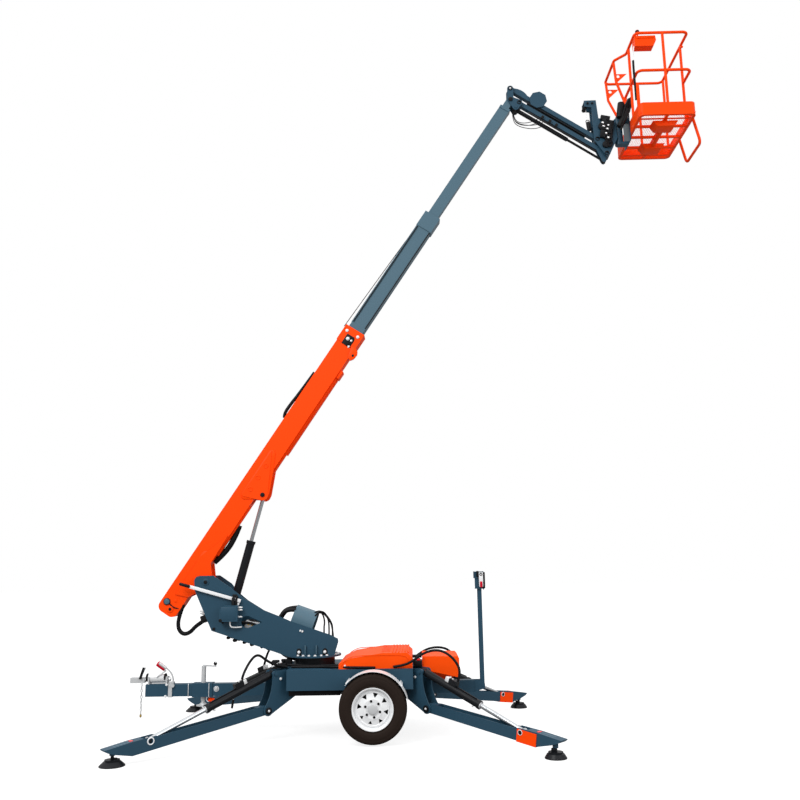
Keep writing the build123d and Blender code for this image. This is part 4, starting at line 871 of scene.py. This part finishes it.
# %% Cabinet, glands and rod
low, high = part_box("turret_box")
block("cabinet_lid", ((low.x + high.x) / 2, low.y + 0.003, (low.z + high.z) / 2),
      (high.x - low.x - 0.03, 0.012, high.z - low.z - 0.03), slate, "turret", edge=0.004)
rod("cabinet_latch", (low.x + 0.012, low.y + 0.03, low.z + 0.012),
    (low.x + 0.012, low.y - 0.004, low.z + 0.012), 0.018, plastic, "turret")
glands = []
for z in (low.z + 0.045, low.z + 0.115, low.z + 0.14):
    for start, end, radius, sides in ((-0.006, 0.028, 0.01, 6), (0.02, 0.042, 0.0065, 32)):
        glands.append(rod("gland", (high.x + start, -0.205, z), (high.x + end, -0.205, z), radius,
                          pale, sides=sides))
glands.append(rod("gland", (high.x - 0.085, -0.205, low.z + 0.006),
                  (high.x - 0.085, -0.205, low.z - 0.03), 0.01, pale, sides=6))
group("cabinet_glands", "turret", glands)
for name, level, points, radius, paint in (
    ("low", low.z, [(-0.085, -0.205, -0.02), (-0.085, -0.205, -0.055), (-0.03, -0.2, -0.062),
                    (0.03, -0.178, -0.06)], 0.0075, pale),
    ("high", high.z, [(-0.03, -0.2, -0.01), (-0.03, -0.2, 0.05), (-0.02, -0.185, 0.095)],
     0.012, plastic),
    ("side", high.z, [(-0.055, -0.215, -0.005), (-0.06, -0.215, 0.035),
                      (-0.055, -0.2, 0.08)], 0.016, plastic),
):
    hose("cabinet_lead_" + name, [(high.x + x, y, level + z) for x, y, z in points], radius,
         paint, "turret")
block("rod_bracket", (high.x - 0.05, -0.171, high.z + 0.075), (0.045, 0.018, 0.07), plastic,
      "turret")

bar_start, bar_end = Vector((-2.56, -0.19, 1.498)), Vector((-2.015, -0.19, 1.342))
way = (bar_end - bar_start).normalized()
block("measuring_bar", (bar_start + bar_end) / 2, ((bar_end - bar_start).length, 0.01, 0.034),
      white, "turret", turn=(0, -degrees(atan2(way.z, way.x)), 0))
rod("measuring_bar_tip", bar_start + way * 0.01, bar_start - way * 0.112, 0.0165, plastic,
    "turret", edge=0.012)
block("measuring_bar_foot", (-2.045, -0.178, 1.305), (0.022, 0.016, 0.07), white, "turret",
      turn=(0, 12, 0))

# %% [markdown]
# ## Hoses on the turret
# Behind the plates the hoses rise from the slewing ring, run up under the half-round cover and
# come down again at its lower end in open loops.

# %% Hoses on the turret
for tag, points, radius in (
    ("reel_hose_a", [(-1.262, -0.1, 1.15), (-1.2, -0.1, 1.235), (-1.12, -0.105, 1.19),
                     (-1.09, -0.105, 1.06), (-1.105, -0.105, 0.8)], 0.0085),
    ("reel_hose_b", [(-1.275, -0.06, 1.19), (-1.205, -0.06, 1.245), (-1.115, -0.06, 1.15),
                     (-1.06, -0.06, 1.06), (-1.045, -0.06, 0.8)], 0.0085),
    ("reel_hose_c", [(-1.28, -0.01, 1.2), (-1.19, -0.01, 1.225), (-1.15, -0.01, 1.12),
                     (-1.165, -0.01, 1.03), (-1.15, -0.01, 0.8)], 0.0085),
    ("reel_hose_d", [(-1.27, 0.05, 1.19), (-1.18, 0.05, 1.215), (-1.09, 0.05, 1.11),
                     (-1.07, 0.05, 1.02), (-1.085, 0.05, 0.8)], 0.0085),
    ("cover_hose_a", [(-1.446, -0.095, 1.236), (-1.54, -0.095, 1.245), (-1.61, -0.1, 1.185),
                      (-1.65, -0.115, 1.08), (-1.69, -0.126, 0.98)], 0.02),
    ("cover_hose_b", [(-1.436, -0.035, 1.262), (-1.545, -0.035, 1.262), (-1.62, -0.05, 1.18),
                      (-1.64, -0.08, 1.06), (-1.64, -0.126, 0.95)], 0.02),
    ("cover_hose_c", [(-1.436, 0.035, 1.262), (-1.55, 0.035, 1.25), (-1.63, 0.05, 1.15),
                      (-1.66, 0.09, 1.05), (-1.69, 0.126, 0.96)], 0.02),
):
    free_hose(tag, points, radius, hose_rubber, "turret")
for n, (y, radius) in enumerate(((-0.12, 0.013), (-0.088, 0.013), (-0.052, 0.011),
                                 (-0.015, 0.013), (0.03, 0.011), (0.08, 0.013))):
    lift = 0.012 * (n % 3)
    hose("plate_hose_%d" % n,
         [(-2.3, y, 1.14 + lift), (-2.1, y, 1.105 - lift), (-1.93, y, 1.125 + lift),
          (-1.8, y, 1.06 - lift), (-1.55, y, 0.96 + lift), (-1.36, y, 0.88)],
         radius, hose_rubber, "turret")
block("valve_bank", (-1.905, -0.055, 1.085), (0.16, 0.1, 0.075), zinc, "turret", turn=(0, 14, 0))
bolts("valve_bank_bolts", [((-1.945 + 0.04 * n, -0.106, 1.1 - 0.01 * n), (0, -1, 0), 0.009)
                           for n in range(3)], brass, "turret")

# %% [markdown]
# ## Under the turret
# A row of clamps and short hose ends hangs below the plates, and pale fittings stand at the rear.

# %% Rear fittings and clamps
clamps = []
for n, (x, z) in enumerate(((-2.155, 0.955), (-2.085, 0.93), (-1.985, 0.905), (-1.905, 0.885),
                            (-1.8, 0.858), (-1.735, 0.845))):
    clamps.append(rod("clamp", (x, -0.13, z + 0.012), (x, -0.06, z + 0.01),
                      0.016 + 0.004 * (n % 2), plastic))
    clamps.append(block("clamp", (x + 0.03, -0.085, z + 0.022), (0.05, 0.06, 0.03), plastic,
                        turn=(0, 16, 0)))
group("hose_clamps", "turret", clamps)
fittings = []
for y, z in ((-0.095, 1.235), (-0.045, 1.205), (0.02, 1.225)):
    fittings.append(rod("fitting", (-2.385, y, z - 0.01), (-2.452, y, z + 0.008), 0.012, pale,
                        sides=6))
    fittings.append(rod("fitting", (-2.44, y, z + 0.004), (-2.476, y, z + 0.014), 0.008, pale))
group("rear_fittings", "turret", fittings)
block("rear_valve", (-2.405, -0.03, 1.165), (0.085, 0.2, 0.075), plastic, "turret",
      turn=(0, -20, 0), edge=0.008)

# %% [markdown]
# ## Boom fittings
# Everything on the boom is laid out along it: how far from the tail, and how far above its middle
# line. The boom's own way and up turn that into a place.

# %% The boom's own view
rise = radians(56.4)
boom_up = Vector((-sin(rise), 0, cos(rise)))
boom_way = Vector((cos(rise), 0, sin(rise)))
boom_turn = (0, -56.4, 0)
tail = boom_pin - boom_way * 0.46 + boom_up * 0.194


def on_boom(s, up, y=0.0):
    return tail + boom_way * s + boom_up * up + Vector((0, y, 0))


def boom_line(y, points):
    """Places along the boom, all this far to the right."""
    return [on_boom(s, up, y) for s, up in points]


def boom_plate(name, corners, level, thick, paint, edge):
    """A flat plate whose corners are given along the boom and above its middle."""
    flat = [(place.x, place.z) for place in boom_line(0, corners)]
    plate(name, flat, level, thick, paint, "boom_base", edge=edge)


# %% Tail, covers and rail of the outer box
near_face = -0.08
rod("tail_cap", on_boom(0.062, 0.052, near_face + 0.002), on_boom(0.062, 0.052, near_face - 0.014),
    0.03, slate_boom, "boom_base")
ring("tail_cap_rim", on_boom(0.062, 0.052, near_face - 0.006), (0, 1, 0), 0.031, 0.006, plastic,
     "boom_base")
hose("tail_strap", [on_boom(0.062, 0.03, -0.084), on_boom(0.05, -0.02, -0.085),
                    on_boom(0.055, -0.07, -0.085), on_boom(0.075, -0.112, -0.07)],
     0.006, plastic, "boom_base")
bosses = []
for s, up, far, radius in ((0.015, -0.022, 0.0872, 0.034), (0.118, -0.02, 0.0848, 0.017),
                           (0.33, -0.02, 0.0848, 0.014)):
    bosses += through("boss", on_boom(s, up), 0.08, far, radius, orange)
group("tail_bosses", "boom_base", bosses)
group("boom_pins", "boom_base",
      through("pin", on_boom(0.015, -0.022), 0.084, 0.09, 0.016, plastic)
      + through("pin", on_boom(1.54, -0.168), 0.091, 0.101, 0.024, plastic))
group("underside_rail", "boom_base", [
    block("rail", on_boom(2.42, -0.122, -0.03), (1.46, 0.046, 0.022), orange, turn=boom_turn),
    block("rail", on_boom(1.05, -0.121, -0.03), (0.62, 0.046, 0.02), orange, turn=boom_turn),
])
block("rail_end", on_boom(3.105, -0.128), (0.1, 0.13, 0.042), orange, "boom_base",
      turn=boom_turn, edge=0.004)

# %% Collar at the end of the outer box
# A thin black plate on the collar's near side is the painted shade of its opening.
boom_plate("painted_collar_opening_shade", [(3.42, 0.048), (3.545, 0.048), (3.545, -0.045), (3.515, -0.062),
                              (3.42, -0.062)], -0.0905, 0.004, plastic, 0.001)
bolts("collar_bolts", [
    (on_boom(s, up, y), (0, -1 if y < 0 else 1, 0), radius)
    for s, up, y, radius in ((3.57, 0.072, -0.089, 0.014), (3.57, -0.072, -0.089, 0.014),
                             (3.57, 0.072, 0.089, 0.014), (3.57, -0.072, 0.089, 0.014),
                             (3.425, -0.045, -0.083, 0.012), (3.495, 0.012, -0.092, 0.016),
                             (3.495, -0.034, -0.092, 0.01))
], white, "boom_base")
boom_plate("collar_hook", [(3.36, -0.092), (3.44, -0.072), (3.455, -0.105), (3.43, -0.16),
                           (3.395, -0.178), (3.335, -0.172), (3.3, -0.15), (3.31, -0.11)],
           -0.092, 0.03, orange, 0.004)
rod("hook_pin", on_boom(3.362, -0.142, -0.088), on_boom(3.362, -0.142, -0.097), 0.013, plastic,
    "boom_base")

# %% [markdown]
# ## Hoses along the boom
# A black conduit lies along the back of the outer box and another bows out below it. A thin line
# runs free beside the middle section from one collar to the next, and a ribbed hose guard lies
# on that section.

# %% Conduits on the boom
hose("back_conduit", boom_line(-0.02, [(2.375, 0.124), (2.41, 0.15), (2.52, 0.152),
                                       (2.7, 0.136), (2.98, 0.127)]),
     0.019, hose_rubber, "boom_base")
free_hose("under_conduit", boom_line(-0.01, [(0.66, -0.125), (0.8, -0.165), (0.98, -0.165),
                                             (1.13, -0.13)]), 0.03, hose_rubber, "boom_base")
group("hose_guard", "boom_mid", [
    block("guard", on_boom(3.7 + n * 0.0215, 0.091, -0.045), (0.0165, 0.018, 0.012), slate_boom,
          turn=boom_turn, edge=0.0015) for n in range(64)])
# Two thin black strips along the middle section's near face are painted shade: of its underside at
# the lower edge, and of the bend below its top edge.
group("painted_mid_edge_shade", "boom_mid", [
    block("seam", on_boom(4.375, up, -0.0714), (1.35, 0.0016, 0.012), plastic, turn=boom_turn,
          edge=0.0003) for up in (0.074, -0.086)])
free_hose("mid_cable", [(-0.931, -0.05, 4.34), (-0.62, -0.05, 4.778), (-0.31, -0.05, 5.215),
                        (0.009, -0.05, 5.653)], 0.0042, rubber, "boom_base", to="boom_mid")
free_hose("tail_hose", [
    (-2.65, -0.06, 1.31), (-2.68, -0.06, 1.225), (-2.703, -0.06, 1.125),
    (-2.69, -0.06, 1.045), (-2.635, -0.06, 1.002), (-2.565, -0.06, 1.025),
    (-2.5, -0.095, 1.095), (-2.372, -0.142, 1.168)], 0.021, hose_rubber, "boom_base",
    to="turret")

# %% Raised plates round the boom's pins
turret_ear = [(-2.575, 1.56), (-2.534, 1.721), (-2.47, 1.842), (-2.44, 1.866), (-2.405, 1.868),
              (-2.382, 1.85), (-2.372, 1.815), (-2.352, 1.613), (-2.42, 1.475), (-2.52, 1.475)]
cylinder_ear = [(-2.029, 2.412), (-1.8, 2.408), (-1.765, 2.425), (-1.749, 2.461),
                (-1.707, 2.705), (-1.686, 2.9), (-1.695, 2.935), (-1.719, 2.948),
                (-1.75, 2.936), (-2.05, 2.48), (-2.055, 2.435)]
ears = []
for hand, level in ((-1, -0.087), (1, 0.077)):
    ears += [plate("ear", corners, level, 0.01, orange, edge=0.006)
             for corners in (turret_ear, cylinder_ear)]
    ears += [ring("dimple", (x, hand * 0.0895, z), (0, 1, 0), 0.022, 0.007, orange)
             for x, z in ((-1.955, 2.518), (-1.87, 2.644), (-1.788, 2.771))]
group("ear_plates", "boom_base", ears)

# %% [markdown]
# ## Boom rest
# The head of the rest has a pale latch plate with a red handle and black guides beside it.

# %% Latch of the boom rest
for name, place, size, paint, edge in (
    ("rest_guide", (0.478, -0.047, 1.58), (0.024, 0.02, 0.06), plastic, 0.003),
    ("rest_edge", (0.547, -0.047, 1.512), (0.018, 0.02, 0.17), plastic, 0.003),
    ("latch_plate", (0.514, -0.05, 1.52), (0.044, 0.008, 0.15), white, 0.002),
    ("latch_handle", (0.514, -0.058, 1.47), (0.026, 0.014, 0.06), red, 0.005),
):
    block(name, place, size, paint, "boom_rest", edge=edge)
ring("latch_eye", (0.514, -0.055, 1.575), (0, 1, 0), 0.012, 0.004, plastic, "boom_rest")

# %% [markdown]
# ## Jib fittings
# Pins with round heads hold the jib's two bars, thin cables hang in loops below the knuckle, and a
# small hook with its weight hangs from the head of the jib.

# %% The jib's own view
fall = radians(-34.1)
jib_way = Vector((cos(fall), 0, sin(fall)))
jib_up = Vector((-sin(fall), 0, cos(fall)))
jib_turn = (0, 34.1, 0)
low_pin, top_pin = joint_at["jib_lift"], joint_at["jib_upper_swing"]
knuckle_pin = joint_at["knuckle_level"]
bar_reach = jib_way * 1.201  # from a bar's first pin to its last


def on_bar(pin, s, up, y=0.0):
    return pin + jib_way * s + jib_up * up + Vector((0, y, 0))


# %% Pins of the jib
for body, pins in (
    ("knuckle", ((knuckle_pin, 0.07), (low_pin, 0.066), (top_pin, 0.066))),
    ("jib_head", ((low_pin + bar_reach, 0.066), (top_pin + bar_reach, 0.066))),
):
    heads = []
    for place, out in pins:
        heads += through("pin", place, out - 0.004, out + 0.004, 0.026, black)
    group("pins_" + body, body, heads)
bolts("knuckle_bolts", [(aside(top_pin, hand * 0.069), (0, hand, 0), 0.009) for hand in HANDS],
      white, "knuckle")

# %% Conduits, cables and painted underside shade of the jib
group("bar_strips", "jib_upper", [
    block("strip", on_bar(top_pin, 0.7, 0.047, y), (0.86, 0.016, 0.006), slate_boom,
          turn=jib_turn, edge=0.001) for y in (-0.018, 0.018)])
# A black strip under the upper bar is painted shade on its underside.
block("painted_bar_underside_shade", on_bar(top_pin, 0.66, -0.031), (0.8, 0.07, 0.012), black, "jib_upper",
      turn=jib_turn, edge=0.002)
for n, (y, drop) in enumerate(((-0.04, 0.0), (-0.02, 0.012), (0.0, -0.01), (0.03, 0.006))):
    low_at = on_bar(low_pin, 0.3 + 0.03 * n, -0.03, y)
    free_hose("knuckle_cable_%d" % n, [
        knuckle_pin + Vector((0.03, y, -0.07)), knuckle_pin + Vector((0.022, y, -0.19 - drop)),
        knuckle_pin + Vector((0.075, y, -0.3 - drop)),
        low_at + Vector((-0.085, 0, -0.06 - drop)), low_at],
        0.0042, hose_rubber, "knuckle", to="jib_lower")
group("bar_clips", "jib_lower", [
    block("clip", on_bar(low_pin, s, -0.012, -0.055), (0.03, 0.01, 0.044), plastic, turn=jib_turn)
    for s in (0.33, 0.43, 0.52)])
# Black strips along the lower edges of the lower bar are painted shade on its underside.
group("painted_lower_bar_shade", "jib_lower", [
    block("lower_bar_shade_strip", on_bar(low_pin, 0.62, -0.046, hand * 0.0495), (0.92, 0.004, 0.026), black,
          turn=jib_turn, edge=0.001) for hand in HANDS])

# %% Hook and weight
low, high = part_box("jib_head")
hook_x, hook_z = low.x + 0.012, high.z - 0.075
rod("hook_pulley", (hook_x, -0.045, hook_z), (hook_x, 0.045, hook_z), 0.024, plastic, "jib_head")
rod("hook_line", (hook_x + 0.012, -0.02, hook_z - 0.02), (hook_x + 0.022, -0.02, hook_z - 0.175),
    0.0022, pale, "jib_head", sides=10)
rod("hook_weight", (hook_x + 0.03, -0.02, hook_z - 0.185), (hook_x + 0.042, -0.02, hook_z - 0.29),
    0.026, plastic, "jib_head", edge=0.006)
ring("hook_eye", (hook_x + 0.026, -0.02, hook_z - 0.175), (0, 1, 0), 0.02, 0.0045, plastic,
     "jib_head")
bolts("head_bolts", [((low.x + x, hand * 0.0705, high.z - 0.042), (0, hand, 0), 0.011)
                     for x in (0.04, 0.095) for hand in HANDS], plastic, "jib_head")

# %% [markdown]
# ## The basket's drive
# Between the jib and the basket sits the levelling and turning drive: a dark lump of valves,
# pipes and a motor round the swivel post. It is built from a few castings and hoses.

# %% Drive, valves and pipes
drive = [rod("drive", (x, near, z), (x, far, z), radius, black) for x, near, far, z, radius in (
    (2.15, -0.095, 0.075, 6.745, 0.05), (2.115, -0.092, -0.05, 6.7, 0.05),
    (2.14, -0.09, -0.05, 6.47, 0.04), (2.18, -0.07, 0.06, 6.56, 0.045))]
drive += [block("drive", place, size, black, turn=(0, tilt, 0)) for place, size, tilt in (
    ((2.15, -0.078, 6.8), (0.11, 0.03, 0.06), 12),
    ((2.11, -0.078, 6.6), (0.06, 0.04, 0.09), 8),
    ((2.205, -0.085, 6.68), (0.05, 0.03, 0.17), 14),
    ((2.195, -0.062, 6.62), (0.07, 0.05, 0.13), 10),
    ((2.16, -0.055, 6.655), (0.06, 0.055, 0.08), -20))]
group("turning_drive", "jib_head", drive)
group("drive_hoses", "jib_head", [hose("pipe", points, 0.01, hose_rubber) for points in (
    [(2.15, -0.08, 6.77), (2.12, -0.085, 6.7), (2.15, -0.09, 6.63), (2.2, -0.09, 6.64)],
    [(2.16, -0.092, 6.78), (2.205, -0.092, 6.75), (2.21, -0.092, 6.68), (2.19, -0.09, 6.6)],
    [(2.14, -0.085, 6.52), (2.15, -0.09, 6.45), (2.2, -0.085, 6.43), (2.215, -0.075, 6.5)],
    [(2.13, -0.078, 6.56), (2.165, -0.085, 6.48), (2.205, -0.085, 6.5), (2.215, -0.08, 6.58)],
)])
group("drive_nuts", "jib_head", [
    rod("nut", (x - 0.015, -0.085, z), (x + 0.005, -0.1, z - 0.012), 0.011, pale, sides=6)
    for x, z in ((2.13, 6.7), (2.17, 6.665), (2.15, 6.61), (2.185, 6.71), (2.12, 6.745),
                 (2.175, 6.555))])

# %% [markdown]
# ## Basket floor
# The floor is expanded metal: a mesh of diamonds. A fine grid is turned by 45 degrees, squeezed so
# that its squares become diamonds, cut to the floor's size with four bisects, and turned into bars
# with a wireframe modifier.

# %% Mesh floor
low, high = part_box("floor_panels")
reach = (high - low) / 2 - Vector((0.004, 0.004, 0))
mesh_floor = primitive(bpy.ops.mesh.primitive_grid_add, x_subdivisions=56, y_subdivisions=56,
                       size=1.9)
mesh_floor.rotation_euler = (0, 0, radians(45))
bpy.ops.object.transform_apply(location=False, rotation=True, scale=False)
mesh_floor.scale = (0.55, 0.9, 1)
bpy.ops.object.transform_apply(location=False, rotation=False, scale=True)
edit_all()
for place in ((reach.x, 0, 0), (-reach.x, 0, 0), (0, reach.y, 0), (0, -reach.y, 0)):
    bpy.ops.mesh.select_all(action="SELECT")
    bpy.ops.mesh.bisect(plane_co=place, plane_no=place, clear_outer=True)
close_edit()
wires = mesh_floor.modifiers.new("bars", "WIREFRAME")
wires.thickness = 0.003
wires.use_replace = True
wires.use_even_offset = False
mesh_floor.location = (low + high) / 2
settle(mesh_floor, "mesh_floor", orange, "basket", smooth=20)
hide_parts("floor_panels")

# %% [markdown]
# ## Under the basket
# Two folded brackets and a tube carry the floor, and they are seen from below.

# %% Brackets below the floor
for n, y in enumerate((-0.33, 0.2)):
    plate("floor_bracket_%d" % n, [(2.6, 6.572), (2.89, 6.572), (2.84, 6.505), (2.65, 6.505)],
          y - 0.085, 0.17, orange, "basket", edge=0.006)
rod("floor_tube", (2.745, -0.26, 6.545), (2.745, 0.14, 6.545), 0.026, orange, "basket")
group("floor_seams", "basket", [
    block("seam", (2.74, y, 6.578), (0.56, 0.028, 0.006), orange, edge=0.001)
    for y in (-0.44, 0.44)])

# %% [markdown]
# ## Basket rails
# Gussets with a hole stiffen the rails beside the swivel, a black hose climbs the near post to
# the control box, and the box has a black stick on top. A bundle of thick hoses hangs between
# the jib's head and the basket.

# %% Gussets, knobs and post hose
for name, corners, y, (x, z) in (
    ("gusset_a", [(2.328, 7.445), (2.478, 7.447), (2.345, 7.325)], 0.05, (2.37, 7.414)),
    ("gusset_b", [(2.328, 7.485), (2.478, 7.482), (2.345, 7.36)], 0.455, (2.37, 7.452)),
):
    gusset = plate(name, corners, y, 0.004, orange, "basket", edge=0.0004)
    cut(gusset, rod("cutter", (x, y - 0.02, z), (x, y + 0.02, z), 0.019, orange))
ball("stick_knob", (2.48, -0.485, 7.642), 0.0245, 0.94, plastic, "basket")
box_low, box_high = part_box("platform_box")
block("box_lid", ((box_low.x + box_high.x) / 2 - 0.004, -0.449, 7.56), (0.205, 0.124, 0.02),
      orange_shell, "basket", edge=0.005)
hose("post_hose", [(2.405, -0.5, 7.27), (2.403, -0.497, 7.15), (2.412, -0.482, 6.95),
                   (2.415, -0.47, 6.8)], 0.0125, hose_rubber, "basket")
hose("post_cable", [(2.425, -0.5, 7.45), (2.412, -0.5, 7.36), (2.405, -0.5, 7.265)], 0.005,
     pale, "basket")
bundle = [
    rod("bundle", (2.44, -0.15, 6.99), (2.36, -0.15, 6.84), 0.034, plastic, edge=0.01),
    rod("bundle", (2.33, -0.15, 6.95), (2.3, -0.15, 6.76), 0.04, plastic, edge=0.01),
    rod("bundle", (2.4, -0.16, 6.86), (2.29, -0.16, 6.64), 0.036, plastic, edge=0.01),
    hose("bundle", [(2.46, -0.16, 7.02), (2.38, -0.18, 6.93), (2.34, -0.19, 6.8),
                    (2.31, -0.17, 6.69)], 0.014, hose_rubber),
    hose("bundle", [(2.47, -0.14, 7.0), (2.43, -0.17, 6.88), (2.35, -0.2, 6.72),
                    (2.3, -0.17, 6.6)], 0.014, hose_rubber),
]
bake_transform(merge(bundle, "hose_bundle"))
rod("rail_stub", (3.04, -0.235, 7.595), (3.04, -0.3, 7.56), 0.0155, orange, "basket")
block("wide_post", (2.436, -0.485, 6.85), (0.035, 0.02, 0.26), orange, "basket")

# %% Put the bolt's master copy away
bpy.data.objects.remove(bolt_master)
